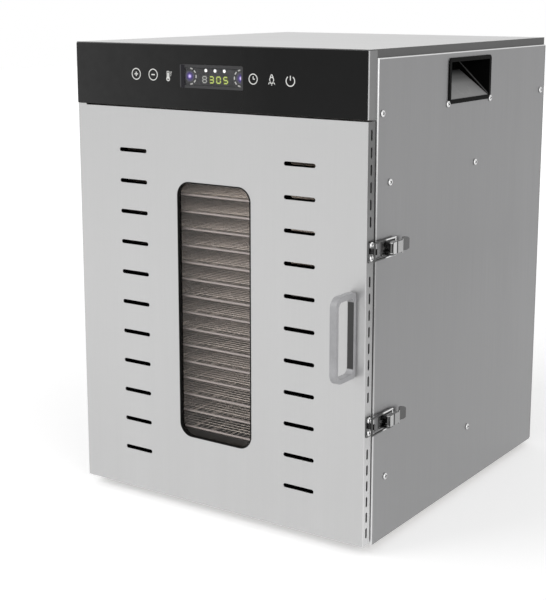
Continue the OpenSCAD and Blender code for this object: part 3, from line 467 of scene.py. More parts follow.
def paint_cup_light_and_shade():
    """Each side handle's ramp is painted grey where light falls on it, darkening inwards as painted
    shade; its end walls carry a painted highlight line.
    """
    tree = FINISHES["cup"].node_tree
    at, facing = place_of(tree), place_of(tree, "Normal")
    lo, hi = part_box("right_handle_cup")
    reach = away_from(tree, at["X"], MID_X)
    mouth = hi.x - MID_X
    upward = ramp_up(tree, facing["Z"], 0.25, 0.35)
    # Painted light on the ramp's upward faces, stepping down to painted shade deeper in
    for depth, tone in ((1, 0.42), (22, 0.26), (32, 0.03)):
        inside = ramp_up(tree, reach, mouth - depth * MM, mouth - (depth * 1.3 + 1) * MM)
        recolour(tree, both(tree, inside, upward), grey(tone))

    # The painted highlight line falls in a straight line from its inner end to the mouth's lower edge
    slope = 31 / 33
    inner_end, start = mouth - 36 * MM, (lo.z + hi.z) / 2 + 14 * MM
    fall = calc(tree, "MULTIPLY_ADD", reach, slope, -inner_end * slope - start)
    off = calc(tree, "ADD", at["Z"], fall)
    highlight_line = ramp_up(tree, away_from(tree, off, 0), 1.3 * MM, 0.7 * MM)
    across = ramp_up(tree, away_from(tree, facing["Y"], 0), 0.8, 0.9)
    inner = ramp_up(tree, reach, mouth - MM, mouth - 2.5 * MM)
    recolour(tree, both(tree, both(tree, highlight_line, across), inner), grey(0.12))


def paint_panel_sheen():
    """The touch panel is painted a little paler towards its left end, as a painted sheen."""
    tree = FINISHES["panel"].node_tree
    recolour(tree, ramp_up(tree, place_of(tree)["X"], PANEL_LO.x, 0.08), grey(0.002))


def shade_lens():
    """The lens is printed dark round its edge, with a black strip at its left."""
    tree = FINISHES["lens"].node_tree
    at = place_of(tree)
    half = (LENS_HI - LENS_LO) / 2
    wide = ramp_up(tree, away_from(tree, at["X"], LENS_MID.x), half.x - 2.6 * MM, half.x - 2.3 * MM)
    tall = ramp_up(tree, away_from(tree, at["Z"], LENS_MID.z), half.z - 3.4 * MM, half.z - 3.1 * MM)
    strip = ramp_up(tree, at["X"], LENS_LO.x + 7.3 * MM, LENS_LO.x + 6.9 * MM)
    border = either(tree, either(tree, wide, tall), strip)
    opaque = ramp_up(tree, border, 0, 1, 0.12)
    tree.links.new(opaque, tree.nodes["Principled BSDF"].inputs["Alpha"])
    recolour(tree, strip, (0.016, 0.015, 0.019))
    # A thin paler line at the lens's left end is a painted highlight on its edge
    end = ramp_up(tree, at["X"], LENS_LO.x + 1.9 * MM, LENS_LO.x + 1.3 * MM)
    recolour(tree, end, (0.07, 0.07, 0.075))


def shade_rims():
    """The trays' outer rods are duller than the fine wires between them."""
    tree = FINISHES["wire"].node_tree
    at = place_of(tree)
    lo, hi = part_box(TRAYS[0])
    mid, half = (lo + hi) / 2, (hi - lo) / 2
    edges = [
        ramp_up(tree, away_from(tree, at[axis], mid[k]), half[k] - 3.4 * MM, half[k] - 3.1 * MM)
        for k, axis in enumerate("XY")]
    recolour(tree, either(tree, *edges), (0.24, 0.22, 0.225))


def paint_latch_reflections():
    """The lever's rolled front is painted bright and its tail darker, and the catch dark round its
    rivets: painted reflections of the plated steel.
    """
    blend = 0.4 * MM
    tree = FINISHES["lever"].node_tree
    y = place_of(tree)["Y"]
    lo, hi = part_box("upper_latch_lever")
    # Painted reflections on the lever: a dark line behind the rolled front, and the front bright
    for start, tone in ((lo.y + 11.5 * MM, 0.04), (lo.y + 8.5 * MM, 0.5)):
        recolour(tree, ramp_up(tree, y, start, start - blend), grey(tone))
    # A painted dark line before the tail, and the tail painted darker
    for start, tone in ((hi.y - 18.5 * MM, 0.04), (hi.y - 15 * MM, 0.12)):
        recolour(tree, ramp_up(tree, y, start - blend, start), grey(tone))

    # The bail's front part is painted dark, as painted shade
    tree = FINISHES["bail"].node_tree
    lo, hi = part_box("upper_latch_bail")
    recolour(tree, ramp_up(tree, place_of(tree)["Y"], hi.y - 22 * MM, hi.y - 26 * MM), grey(0.08))

    # The catch is painted dark round its bright rivets, as a painted reflection
    tree = FINISHES["keeper"].node_tree
    at = place_of(tree)
    lo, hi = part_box("latch_keepers")
    height = away_from(tree, at["Z"], (lo.z + hi.z) / 2)
    height = away_from(tree, away_from(tree, height, (hi.z - lo.z) / 2 - 12.2 * MM), 7.2 * MM)
    spot = distance(tree, away_from(tree, at["Y"], lo.y + 6.3 * MM), height)
    recolour(tree, ramp_up(tree, spot, 3.6 * MM, 3.9 * MM), grey(0.14))


def shade_beacons():
    """Each light has a pale core in a violet halo."""
    tree = FINISHES["beacon"].node_tree
    at = place_of(tree)
    bsdf = tree.nodes["Principled BSDF"]
    violet = bpy.context.scene.dehydrator_finish.beacon_violet
    spot = distance(tree, away_from(tree, away_from(tree, at["X"], SHOW_X), BEACON_REACH),
                    away_from(tree, at["Z"], LENS_MID.z))
    ramp = tree.nodes.new("ShaderNodeValToRGB")
    stops = ramp.color_ramp.elements
    tones = ((0.0, (0.5, 0.42, 0.66)), (0.2, violet), (0.36, (0.09, 0.06, 0.26)),
             (0.55, (0.026, 0.016, 0.09)), (1.0, (0.052, 0.052, 0.056)))
    stops[0].position, stops[1].position = tones[0][0], tones[-1][0]
    for place, _ in tones[1:-1]:
        stops.new(place)
    for stop, (_, tone) in zip(stops, tones):
        stop.color = (*tone, 1)
    tree.links.new(ramp_up(tree, spot, 0, BEACON_RADIUS), ramp.inputs["Fac"])
    tree.links.new(ramp.outputs["Color"], bsdf.inputs["Base Color"])
    tree.links.new(ramp.outputs["Color"], bsdf.inputs["Emission Color"])


DETAILS = (paint_flange_shade, paint_bend_highlights, paint_door_shade, paint_lining_shade, paint_handle_shade, paint_cup_light_and_shade,
           paint_panel_sheen, shade_lens, shade_rims, paint_latch_reflections, shade_beacons)


# ---- modelling helpers

def object_mode():
    """Leaves edit mode."""
    if bpy.context.mode != "OBJECT":
        bpy.ops.object.mode_set(mode="OBJECT")


def deselect():
    """Leaves nothing selected."""
    object_mode()
    bpy.ops.object.select_all(action="DESELECT")


def pick(objects):
    """Selects the objects and makes the first one active."""
    deselect()
    for o in objects:
        o.select_set(True)
    bpy.context.view_layer.objects.active = objects[0]


def edit(select="SELECT"):
    """Goes into edit mode with all or nothing selected."""
    bpy.ops.object.mode_set(mode="EDIT")
    bpy.ops.mesh.select_all(action=select)


def ease_edges(offset):
    """Eases every edge of the active piece."""
    edit()
    bpy.ops.mesh.bevel(offset=offset, segments=1, affect="EDGES")
    object_mode()


def apply_places():
    """Puts the active piece's place, turn and size into its mesh."""
    bpy.ops.object.transform_apply(location=True, rotation=True, scale=True)


def coat(piece, *looks):
    """Gives a piece its materials, in this order."""
    piece.data.materials.clear()
    for look in looks:
        piece.data.materials.append(FINISHES[look])


def joined(objects, name):
    """Joins the objects into one piece that sits at the origin."""
    pick(objects)
    if len(objects) > 1:
        bpy.ops.object.join()
    piece = bpy.context.object
    apply_places()
    piece.name = name
    piece.data.name = name
    return piece


def smooth(piece, angle):
    """Shades the piece smooth, but for edges sharper than the angle in degrees."""
    pick([piece])
    bpy.ops.object.shade_smooth_by_angle(angle=math.radians(angle))


def placed_copy(piece, name, offset):
    """A copy with its own mesh, moved in its mesh."""
    pick([piece])
    bpy.ops.object.duplicate()
    other = bpy.context.object
    other.data.transform(Matrix.Translation(offset))
    other.name = name
    other.data.name = name
    return other


def dress(node, look, edge=0.0, segments=2):
    """Gives a frame part its material, and rounds its sharp edges with live modifiers."""
    part = frame["nodes"][node]
    coat(part, look)
    if edge > 0:
        weld = part.modifiers.new("Weld", "WELD")
        weld.merge_threshold = WELD_GAP
        planar = part.modifiers.new("Planar", "DECIMATE")
        planar.decimate_type = "DISSOLVE"
        planar.angle_limit = FLAT_ANGLE
        rounding = part.modifiers.new("Rounding", "BEVEL")
        rounding.width = edge
        rounding.segments = segments
        rounding.limit_method = "ANGLE"
        rounding.angle_limit = SHARP_ANGLE
        flat = part.modifiers.new("Flat faces", "WEIGHTED_NORMAL")
        flat.weight = 50
        flat.keep_sharp = True


def bar(start, end, width, depth, round_off=0.3):
    """A flat bar in the X-Z plane between two points, with its long edges eased."""
    start, end = Vector(start), Vector(end)
    run = end - start
    bpy.ops.mesh.primitive_cube_add(
        size=1, location=(start + end) / 2, rotation=(0, -math.atan2(run.z, run.x), 0),
        scale=(run.length, depth, width))
    apply_places()
    ease_edges(min(width, depth) * round_off)
    return bpy.context.object


def ring(centre, radius, width, depth, keep=None, sides=40):
    """A flat ring in the X-Z plane. keep(degrees) tells which part of it stays."""
    deselect()
    bpy.ops.mesh.primitive_torus_add(
        location=centre, rotation=(math.radians(90), 0, 0), major_radius=radius,
        minor_radius=width / 2, major_segments=sides, minor_segments=6)
    piece = bpy.context.object
    piece.scale = (1, 1, depth / width)
    apply_places()
    edit()
    bpy.ops.mesh.normals_make_consistent(inside=False)
    if keep:
        bpy.ops.mesh.select_all(action="DESELECT")
        object_mode()
        for v in piece.data.vertices:
            turn = math.degrees(math.atan2(v.co.z - centre[2], v.co.x - centre[0]))
            v.select = not keep(turn)
        bpy.ops.object.mode_set(mode="EDIT")
        bpy.ops.mesh.delete(type="VERT")
        bpy.ops.mesh.select_all(action="SELECT")
        bpy.ops.mesh.fill_holes(sides=8)
        bpy.ops.mesh.normals_make_consistent(inside=False)
    object_mode()
    return piece


def ray_level(tree, plain, seen):
    """One strength for the light on things, another for what is seen, mirrored or seen through."""
    path = tree.nodes.new("ShaderNodeLightPath")
    direct = either(tree, path.outputs["Is Camera Ray"], path.outputs["Is Glossy Ray"])
    direct = either(tree, direct, path.outputs["Is Transmission Ray"])
    return ramp_up(tree, direct, 0, 1, plain, seen)


# ---- operators

class MakeStage(Operator):
    """Sets out the pale floor, the soft lamps, the world and the camera."""
    bl_idname = "dehydrator.stage"
    bl_label = "Stage"

    def execute(self, context):
        s = context.scene.dehydrator_stage
        deselect()
        bpy.ops.mesh.primitive_plane_add(size=FLOOR_SIZE, location=(0, 0, 0))
        floor = context.object
        floor.name = "floor"
        mat, tree, bsdf = material("pale floor")
        at = place_of(tree)
        bsdf.inputs["Base Color"].default_value = (*s.floor_colour, 1)
        bsdf.inputs["Roughness"].default_value = 0.85
        bsdf.inputs["Specular IOR Level"].default_value = 0.1
        bsdf.inputs["Emission Color"].default_value = (1, 1, 1, 1)
        white = ramp_up(tree, distance(tree, at["X"], at["Y"]), *FLOOR_FADE,
                        s.floor_white, s.floor_white + FAR_WHITE)
        tree.links.new(calc(tree, "MULTIPLY", ray_level(tree, 0, 1), white),
                       bsdf.inputs["Emission Strength"])
        floor.data.materials.append(mat)

        world = bpy.data.worlds.new("studio")
        context.scene.world = world
        world.use_nodes = True
        tree = world.node_tree
        back = tree.nodes["Background"]
        back.inputs["Color"].default_value = (1, 1, 1, 1)
        tree.links.new(ray_level(tree, s.world_light, 1), back.inputs["Strength"])

        def lamp(name, place, target, size, power):
            """A soft lamp that looks from its place at the target."""
            bpy.ops.object.light_add(type="AREA", location=place)
            light = context.object
            light.name = name
            light.data.shape = "RECTANGLE"
            light.data.size, light.data.size_y = size
            light.data.energy = power
            aim = Vector(target) - Vector(place)
            light.rotation_euler = aim.to_track_quat("-Z", "Y").to_euler()
            light.visible_camera = False

        lamp("key lamp", *KEY_LAMP, s.key_light)
        lamp("rim lamp", *RIM_LAMP, s.rim_light)
        lamp("chamber light", (MID_X, DOOR_HI.y + 3 * MM, DOOR_MID_Z), (MID_X, 0.1, DOOR_MID_Z),
             (0.13, 0.34), s.chamber_light)
        context.object.data.color = (1, 0.94, 0.86)

        bpy.ops.object.camera_add(
            location=s.camera_place, rotation=(math.pi / 2 - s.camera_tilt, 0, s.camera_turn))
        cam = context.object
        cam.name = "camera"
        cam.data.sensor_width = SENSOR_WIDTH
        cam.data.lens = s.lens
        cam.data.shift_y = s.drop
        cam.data.clip_start, cam.data.clip_end = 0.05, 60
        context.scene.camera = cam
        context.scene.view_settings.view_transform = "Standard"
        return {"FINISHED"}


class MixFinishes(Operator):
    """Mixes every material that the pieces use."""
    bl_idname = "dehydrator.finishes"
    bl_label = "Finishes"

    def execute(self, context):
        f = context.scene.dehydrator_finish
        FINISHES.update({
            "door": brushed("door steel", f.door_steel, streak=0.015, grain=0.06, rough=(0.4, 0.5)),
            "side": brushed("side steel", f.side_steel, streak=0.02, rough=(0.36, 0.48)),
            "top": brushed("top steel", f.top_steel, along="X", streak=0.02, rough=(0.6, 0.7),
                           metallic=0.35),
            "inner": brushed("inner steel", f.inner_steel, along="Y", streak=0.06,
                             rough=(0.3, 0.5)),
            "lining": brushed("door lining steel", f.inner_steel, along="Y", streak=0.06,
                              rough=(0.3, 0.5)),
            "wire": polished("tray wire", f.wire_steel, rough=(0.5, 0.62), metallic=0.55),
            "bright": polished("bright steel", f.bright_steel),
            # The recess colour is the screw's steel painted dark, as painted shade in the recess and
            # under the head's rim
            "screw": polished("screw steel", shade(f.bright_steel, 0.85), rough=(0.12, 0.25)),
            "recess": polished("screw recess shade", shade(f.bright_steel, 0.1), rough=(0.3, 0.5)),
            # The latch parts share one plated steel; the base and lever are painted darker as painted
            # reflections
            "keeper": polished("keeper chrome", f.bright_steel, rough=(0.12, 0.25)),
            "bail": polished("bail wire", shade(f.bright_steel, 0.9), rough=(0.12, 0.25)),
            "base": polished("latch base steel", shade(f.bright_steel, 0.2), rough=(0.1, 0.22)),
            "lever": polished("lever steel", shade(f.bright_steel, 0.44), rough=(0.1, 0.24)),
            "handle": moulded("handle grey", f.handle_grey, rough=(0.3, 0.42), specular=0.6),
            "black": moulded("black plastic", grey(0.012), rough=(0.24, 0.4)),
            "rubber": moulded("black rubber", grey(0.006), rough=(0.55, 0.75), specular=0.12),
            "panel": moulded("touch panel black", f.panel_black, rough=(0.2, 0.26), grain=400,
                             depth=0.005 * MM, specular=0.17),
            "lens": clear_pane("display lens", (0.06, 0.06, 0.062), 0.35, 0.06, specular=0.15),
            "pane": clear_pane("window pane", (0.03, 0.028, 0.026), 0.28, 0.04),
            "board": moulded("board green", (0.02, 0.12, 0.05), rough=(0.3, 0.45)),
            "alloy": brushed("fan alloy", (0.62, 0.62, 0.63), along="X", streak=0.04,
                             rough=(0.28, 0.44)),
            "motor": moulded("motor grey", (0.07, 0.07, 0.075), rough=(0.3, 0.5)),
            "heater": polished("heater tube", (0.2, 0.17, 0.15), rough=(0.3, 0.5)),
            "lamp": glowing("chamber lamp", (1.0, 0.86, 0.66), f.chamber_glow),
            "bearing": moulded("bearing white", (0.75, 0.75, 0.72), rough=(0.35, 0.5)),
            "symbol": glowing("symbol white", f.symbol_white, 0.25),
            # The unlit segments glow a little, as painted light
            "dim": glowing("unlit segment", (0.42, 0.43, 0.41), 0.38),
            "faint": moulded("faint segment", (0.16, 0.18, 0.03), rough=(0.4, 0.5), specular=0.2),
            "digit": glowing("lit segment", f.digit_green, 0.6),
            "dot": glowing("white dot", grey(0.95), 0.8),
            "beacon": glowing("violet light", f.beacon_violet, 1.2),
            "display": moulded("display face", (0.075, 0.075, 0.078), rough=(0.3, 0.4),
                               specular=0.2),
            "cup": moulded("handle cup black", grey(0.003), rough=(0.2, 0.3), specular=0.015),
        })
        for detail in DETAILS:
            detail()
        return {"FINISHED"}


class DressCase(Operator):
    """Finishes the outer case and eases its cut edges."""
    bl_idname = "dehydrator.case"
    bl_label = "Case"

    def execute(self, context):
        edge = context.scene.dehydrator_sizes.edge_round
        dress("top_cover", "top", edge)
        for node in ("left_side_panel", "right_side_panel", "back_panel"):
            dress(node, "side", edge)
        dress("base_pan", "inner", edge)
        dress("front_frame", "inner")
        dress("rubber_feet", "rubber", edge * 2)
        for node in ("left_handle_cup", "right_handle_cup"):
            dress(node, "cup", context.scene.dehydrator_sizes.moulded_round, segments=3)
        return {"FINISHED"}


class DressDoor(Operator):
    """Finishes the door with its handle, pane and rubber linings."""
    bl_idname = "dehydrator.door"
    bl_label = "Door"

    def execute(self, context):
        edge = context.scene.dehydrator_sizes.edge_round
        dress("door_shell", "door", edge)
        dress("door_inner_panel", "lining")
        dress("door_glass", "pane")
        dress("window_gasket", "rubber", edge)
        dress("door_seal", "rubber")
        dress("door_handle", "handle", 1.6 * MM, segments=4)
        dress("hinge_blocks", "bearing")
        dress("hinge_pins", "bright", edge)
        return {"FINISHED"}


class DressChamber(Operator):
    """Finishes the drying chamber."""
    bl_idname = "dehydrator.chamber"
    bl_label = "Chamber"

    def execute(self, context):
        for node in ("liner_left", "liner_right", "liner_ceiling", "liner_floor", "rear_baffle",
                     "left_tray_rack", "right_tray_rack", "drip_tray"):
            dress(node, "inner")
        dress("interior_lamp", "lamp")
        dress("temperature_sensor", "bright")
        return {"FINISHED"}


class DressDrive(Operator):
    """Finishes the fan, the heater, the inlet and the boards."""
    bl_idname = "dehydrator.drive"
    bl_label = "Fan and heater"

    def execute(self, context):
        edge = context.scene.dehydrator_sizes.edge_round
        dress("fan_impeller", "alloy")
        dress("fan_motor", "motor", edge * 2)
        dress("motor_bracket", "inner", edge)
        dress("fan_guard", "wire")
        dress("heater_element", "heater")
        dress("power_inlet", "black", edge)
        dress("circuit_boards", "board", edge)
        return {"FINISHED"}


class DressLatches(Operator):
    """Finishes the draw latches and eases their pressed edges."""
    bl_idname = "dehydrator.latches"
    bl_label = "Latches"

    def execute(self, context):
        dress("latch_bases", "base", 0.3 * MM)
        dress("latch_keepers", "keeper", 0.3 * MM)
        for side in ("upper", "lower"):
            dress(side + "_latch_lever", "lever", 0.3 * MM)
            dress(side + "_latch_bail", "bail")
        return {"FINISHED"}


class DressControls(Operator):
    """Finishes the control housing, the touch panel and the display's lens."""
    bl_idname = "dehydrator.controls"
    bl_label = "Control housing"

    def execute(self, context):
        edge = context.scene.dehydrator_sizes.edge_round
        dress("control_housing", "door", edge)
        dress("touch_panel", "panel", edge * 0.5)
        dress("display_lens", "lens")
        return {"FINISHED"}


class MakeTrays(Operator):
    """Bends one rim, lays the wires across it and copies the tray to every runner."""
    bl_idname = "dehydrator.trays"
    bl_label = "Trays"

    def execute(self, context):
        z = context.scene.dehydrator_sizes
        lo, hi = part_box(TRAYS[0])
        rod = hi.z - lo.z
        mid = (lo + hi) / 2
        w, d = hi.x - lo.x - rod, hi.y - lo.y - rod
        deselect()
        bpy.ops.mesh.primitive_plane_add(size=1, location=mid)
        rim = context.object
        rim.scale = (w, d, 1)
        bpy.ops.object.transform_apply(location=False, rotation=False, scale=True)
        edit()
        bpy.ops.mesh.bevel(offset=TRAY_CORNER, segments=7, affect="VERTICES")
        bpy.ops.mesh.delete(type="ONLY_FACE")
        object_mode()
        bpy.ops.object.convert(target="CURVE")
        rim.data.bevel_depth = rod / 2
        rim.data.bevel_resolution = 2
        bpy.ops.object.convert(target="MESH")
        parts = [context.object]

        def wires(along_y, dia, height, count=None):
            """One straight wire, and its copies side by side between the bent corners."""
            length = (d if along_y else w) - WIRE_GAP
            span = (w if along_y else d) - 2 * TRAY_CORNER
            count = count or int(span / z.mesh_pitch)
            step = span / (count - 1)
            first = mid + Vector((-span / 2, 0, height) if along_y else (0, -span / 2, height))
            turn = (math.pi / 2, 0, 0) if along_y else (0, math.pi / 2, 0)
            bpy.ops.mesh.primitive_cylinder_add(
                vertices=6, radius=dia / 2, depth=length, location=first, rotation=turn)
            wire = context.object
            apply_places()
            rows = wire.modifiers.new("Rows", "ARRAY")
            rows.use_relative_offset = False
            rows.use_constant_offset = True
            rows.constant_offset_displace = (step, 0, 0) if along_y else (0, step, 0)
            rows.count = count
            bpy.ops.object.modifier_apply(modifier=rows.name)
            parts.append(wire)

        wires(True, TRAY_ROD, 0, TRAY_RODS)
        wires(True, z.mesh_wire, LONG_LAYER)
        wires(False, z.mesh_wire, CROSS_LAYER)
        tray = joined(parts, TRAYS[0] + "_mesh")
        smooth(tray, 50)
        coat(tray, "wire")
        made = {TRAYS[0]: tray}
        for node in TRAYS[1:]:
            made[node] = placed_copy(tray, node + "_mesh", Vector((0, 0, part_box(node)[0].z - lo.z)))
        for node, piece in made.items():
            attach(piece, node)
            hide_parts(node)
        return {"FINISHED"}


# The symbols' strokes: start and end in mm from the symbol's middle, and width in symbol lines
PLUS = [((-2.6, 0), (2.6, 0), 1.3), ((0, -2.6), (0, 2.6), 1.3)]
MINUS = PLUS[:1]
THERMOMETER = [
    ((-1.5, -4.2), (-1.5, 3.0), 1.6), ((-3.1, -2.6), (-3.1, 4.6), 0.7),
    ((0.1, -2.6), (0.1, 4.6), 0.7), ((-3.1, 4.6), (0.1, 4.6), 0.7),
    ((1.8, 3.8), (4.0, 3.8), 0.8), ((1.8, 1.7), (3.4, 1.7), 0.8), ((1.8, -0.4), (2.8, -0.4), 0.8)]
CLOCK = [((0, -0.4), (0, 3.0), 1), ((-0.3, 0), (2.4, 0), 1)]
BULB = [
    *(stroke for s in (-1, 1) for stroke in (
        ((s * 1.7, -2.0), (s * 1.7, -3.7), 1), ((s * 2.8, -2.8), (s * 4.3, -4.8), 0.9),
        ((s * 0.2, 6.1), (s * 2.1, 2.9), 0.9))),
    ((-1.7, -3.7), (1.7, -3.7), 1), ((0, -4.8), (0, -6.2), 0.9)]
POWER = [((0, 0.2), (0, 5.4), 1.1)]
KEY_PITCH = 26 * MM


class MakeSymbols(Operator):
    """Draws the six touch symbols as thin raised strokes, each with one round stroke."""
    bl_idname = "dehydrator.symbols"
    bl_label = "Touch symbols"

    def execute(self, context):
        z = context.scene.dehydrator_sizes
        line, r = z.symbol_line, z.symbol_radius
        deep = 0.12 * MM
        y = PANEL_LO.y - deep / 4
        bulb_part, power_part = (lambda t: t > -50 or t < -130), (lambda t: not 62 < t < 118)

        def at(x, spot):
            """A point in millimetres from the middle of the symbol at x."""
            return (x + spot[0] * MM, y, LENS_MID.z + spot[1] * MM)

        parts = []
        for place, middle, radius, width, shape, strokes in (
                (-4.35, (0, 0), r, 1, {}, PLUS),
                (-3.35, (0, 0), r, 1, {}, MINUS),
                (-2.42, (-1.5, -4.2), 2.1 * MM, 1.2, {"sides": 24}, THERMOMETER),
                (2.22, (0, 0), r * 0.88, 1, {}, CLOCK),
                (3.19, (0, 0.2), 2.7 * MM, 1, {"keep": bulb_part, "sides": 28}, BULB),
                (4.15, (0, -0.4), r * 0.88, 1.1, {"keep": power_part}, POWER)):
            x = MID_X + place * KEY_PITCH
            parts.append(ring(at(x, middle), radius, line * width, deep, **shape))
            for start, end, wide in strokes:
                parts.append(bar(at(x, start), at(x, end), line * wide, deep))
        piece = joined(parts, "touch_symbols")
        coat(piece, "symbol")
        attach(piece, "cabinet")
        return {"FINISHED"}


# The segments that each lit digit uses, and where each one runs, in half widths and half heights
SEGMENTS = {"3": "abcdg", "0": "abcdef", "5": "acdfg"}
ENDS = {
    "a": ((-1, 2), (1, 2)), "b": ((1, 2), (1, 1)), "c": ((1, 1), (1, 0)), "d": ((-1, 0), (1, 0)),
    "e": ((-1, 1), (-1, 0)), "f": ((-1, 2), (-1, 1)), "g": ((-1, 1), (1, 1))}


class MakeDisplay(Operator):
    """Lays out the seven-segment digits, the dots and the two lights with their ticks."""
    bl_idname = "dehydrator.display"
    bl_label = "Display"

    def execute(self, context):
        z = context.scene.dehydrator_sizes
        cx, cz = SHOW_X, LENS_MID.z
        y = PANEL_LO.y + z.display_depth
        tall = z.digit_height
        wide, pitch, stroke = tall * 0.76, tall * 1.43, tall * 0.21
        deep = 0.16 * MM
        # The first digit is wholly unlit but glows a little as painted light, and the others' unlit
        # segments are faint
        lit, unlit, faint = [], [], []
        for k, figure in enumerate(" 305"):
            x = cx + (k - 1.5) * pitch
            base = cz - DIGITS_DOWN
            for seg, (p, q) in ENDS.items():
                a = Vector((x + p[0] * wide / 2, y, base + p[1] * tall / 2))
                b = Vector((x + q[0] * wide / 2, y, base + q[1] * tall / 2))
                gap = (b - a).normalized() * stroke * 0.3
                on = k > 0 and seg in SEGMENTS[figure]
                (lit if on else faint if k else unlit).append(bar(a + gap, b - gap, stroke, deep))
        dots, beacons, ticks = [], [], []

        def disc(x, height, radius, to):
            """A thin disc that faces forward."""
            deselect()
            bpy.ops.mesh.primitive_cylinder_add(
                vertices=24, radius=radius, depth=deep, location=(x, y, height),
                rotation=(math.pi / 2, 0, 0))
            ease_edges(deep * 0.3)
            to.append(context.object)

        for k in (-1, 0, 1):
            disc(cx + k * DOT_PITCH, cz + DOTS_UP, DOT_RADIUS, dots)
        for s in (-1, 1):
            x = cx + s * BEACON_REACH
            disc(x, cz, BEACON_RADIUS, beacons)
            for k in range(-2, 3):
                a = k * TICK_TURN + (0 if s < 0 else math.pi)
                out = Vector((math.cos(a), 0, math.sin(a)))
                mid = Vector((x, y, cz)) + out * TICK_REACH
                run = Vector((-out.z, 0, out.x)) * TICK_LONG / 2
                ticks.append(bar(mid - run, mid + run, TICK_WIDE, deep))

        # The face lies behind the digits, inside the lens's printed edge
        half = (LENS_HI - LENS_LO) / 2 - Vector((2.5, 0, 3.5)) * MM
        behind = y + 0.2 * MM
        face = bar((LENS_MID.x - half.x, behind, cz), (LENS_MID.x + half.x, behind, cz),
                   2 * half.z, deep, 0.1)
        for parts, name, look in (
                ([face], "display_face", "display"), (lit, "lit_digits", "digit"),
                (unlit, "unlit_digit", "dim"), (faint, "faint_segments", "faint"),
                (dots, "display_dots", "dot"), (beacons, "display_lights", "beacon"),
                (ticks, "display_ticks", "symbol")):
            piece = joined(parts, name)
            coat(piece, look)
            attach(piece, "cabinet")
        return {"FINISHED"}


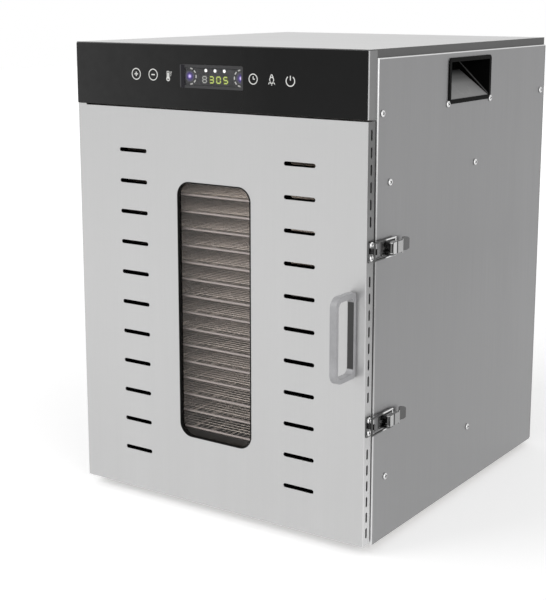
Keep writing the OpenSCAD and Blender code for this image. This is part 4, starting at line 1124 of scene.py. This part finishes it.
class MakeScrews(Operator):
    """Makes a pan-head screw with a cross recess, and puts one in place of every plain screw."""
    bl_idname = "dehydrator.screws"
    bl_label = "Screws"

    def execute(self, context):
        # Each head's face and direction come from a loose copy of the plain screws
        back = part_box("back_panel")[1].y
        pick([frame["nodes"]["case_screws"]])
        bpy.ops.object.duplicate()
        plain = context.object
        plain.parent = None
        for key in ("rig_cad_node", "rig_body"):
            del plain[key]
        edit()
        bpy.ops.mesh.remove_doubles(threshold=0.01 * MM)
        bpy.ops.mesh.separate(type="LOOSE")
        object_mode()
        places = []
        for loose in list(context.selected_objects):
            corners = [loose.matrix_world @ v.co for v in loose.data.vertices]
            lo = Vector([min(c[i] for c in corners) for i in range(3)])
            hi = Vector([max(c[i] for c in corners) for i in range(3)])
            mid = (lo + hi) / 2
            axis = Vector((0, 1, 0) if hi.y > back else (1 if mid.x > MID_X else -1, 0, 0))
            places.append((mid + axis * abs(axis.dot(hi - lo)) / 2, axis))
            bpy.data.objects.remove(loose)

        deselect()
        bpy.ops.mesh.primitive_cylinder_add(
            vertices=24, radius=HEAD_RADIUS, depth=HEAD_TALL, location=(0, 0, -HEAD_TALL / 2))
        head = context.object
        apply_places()
        edit("DESELECT")
        object_mode()
        for e in head.data.edges:
            e.select = all(head.data.vertices[v].co.z > -0.01 * MM for v in e.vertices)
        bpy.ops.object.mode_set(mode="EDIT")
        bpy.ops.mesh.bevel(offset=HEAD_ROUND, segments=4, affect="EDGES")
        object_mode()
        depth = context.scene.dehydrator_sizes.recess_depth
        for turn in (0, math.pi / 2):
            deselect()
            bpy.ops.mesh.primitive_cube_add(
                size=1, location=(0, 0, 0), rotation=(0, 0, turn),
                scale=(RECESS_LONG, RECESS_WIDE, 2 * depth))
            cutter = context.object
            pick([head])
            cut = head.modifiers.new("Recess", "BOOLEAN")
            cut.operation = "DIFFERENCE"
            cut.object = cutter
            bpy.ops.object.modifier_apply(modifier=cut.name)
            bpy.data.objects.remove(cutter)
        deselect()
        bpy.ops.mesh.primitive_cylinder_add(
            vertices=12, radius=SHANK_RADIUS, depth=SHANK_LONG,
            location=(0, 0, -HEAD_TALL - SHANK_LONG / 2))
        ease_edges(0.3 * MM)
        screw = joined([head, context.object], "screw")
        smooth(screw, 40)
        coat(screw, "screw", "recess")
        # Faces in the recess and under the head's rim take the dark colour, as painted shade
        for face in screw.data.polygons:
            x, y, height = face.center
            in_recess = math.hypot(x, y) < RECESS_LONG / 2 + 0.1 * MM and height < -0.2 * MM
            under_rim = height < -1.1 * MM
            face.material_index = 1 if in_recess or under_rim else 0
        made = []
        for k, (place, axis) in enumerate(places):
            pick([screw])
            bpy.ops.object.duplicate()
            copy = context.object
            outward = axis.to_track_quat("Z", "Y").to_matrix().to_4x4()
            spin = Matrix.Rotation(k * SCREW_TURN, 4, "Z")
            copy.data.transform(Matrix.Translation(place) @ outward @ spin)
            made.append(copy)
        bpy.data.objects.remove(screw)
        piece = joined(made, "cross_recess_screws")
        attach(piece, "cabinet")
        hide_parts("case_screws")
        return {"FINISHED"}


class OpenMenu(Panel):
    """The sidebar's list of settings and steps."""
    bl_idname = "VIEW3D_PT_dehydrator"
    bl_label = "Food Dehydrator"
    bl_space_type = "VIEW_3D"
    bl_region_type = "UI"
    bl_category = "Dehydrator"

    def draw(self, context):
        for group in ("dehydrator_sizes", "dehydrator_finish", "dehydrator_stage"):
            settings = getattr(context.scene, group)
            for key in settings.bl_rna.properties.keys():
                if key not in ("rna_type", "name"):
                    self.layout.prop(settings, key)
        for step in STEPS:
            self.layout.operator(step.bl_idname)


SETTINGS = (DehydratorSizes, DehydratorFinish, DehydratorStage)
STEPS = (MakeStage, MixFinishes, DressCase, DressDoor, DressChamber, DressDrive, DressLatches,
         DressControls, MakeScrews, MakeTrays, MakeSymbols, MakeDisplay)


def register():
    for c in (*SETTINGS, *STEPS, OpenMenu):
        bpy.utils.register_class(c)
    bpy.types.Scene.dehydrator_sizes = PointerProperty(type=DehydratorSizes)
    bpy.types.Scene.dehydrator_finish = PointerProperty(type=DehydratorFinish)
    bpy.types.Scene.dehydrator_stage = PointerProperty(type=DehydratorStage)


def unregister():
    del bpy.types.Scene.dehydrator_stage
    del bpy.types.Scene.dehydrator_finish
    del bpy.types.Scene.dehydrator_sizes
    for c in reversed((*SETTINGS, *STEPS, OpenMenu)):
        bpy.utils.unregister_class(c)


def main():
    register()
    bpy.ops.dehydrator.stage()
    bpy.ops.dehydrator.finishes()
    bpy.ops.dehydrator.case()
    bpy.ops.dehydrator.door()
    bpy.ops.dehydrator.chamber()
    bpy.ops.dehydrator.drive()
    bpy.ops.dehydrator.latches()
    bpy.ops.dehydrator.controls()
    bpy.ops.dehydrator.screws()
    bpy.ops.dehydrator.trays()
    bpy.ops.dehydrator.symbols()
    bpy.ops.dehydrator.display()


if __name__ == "__main__":
    main()
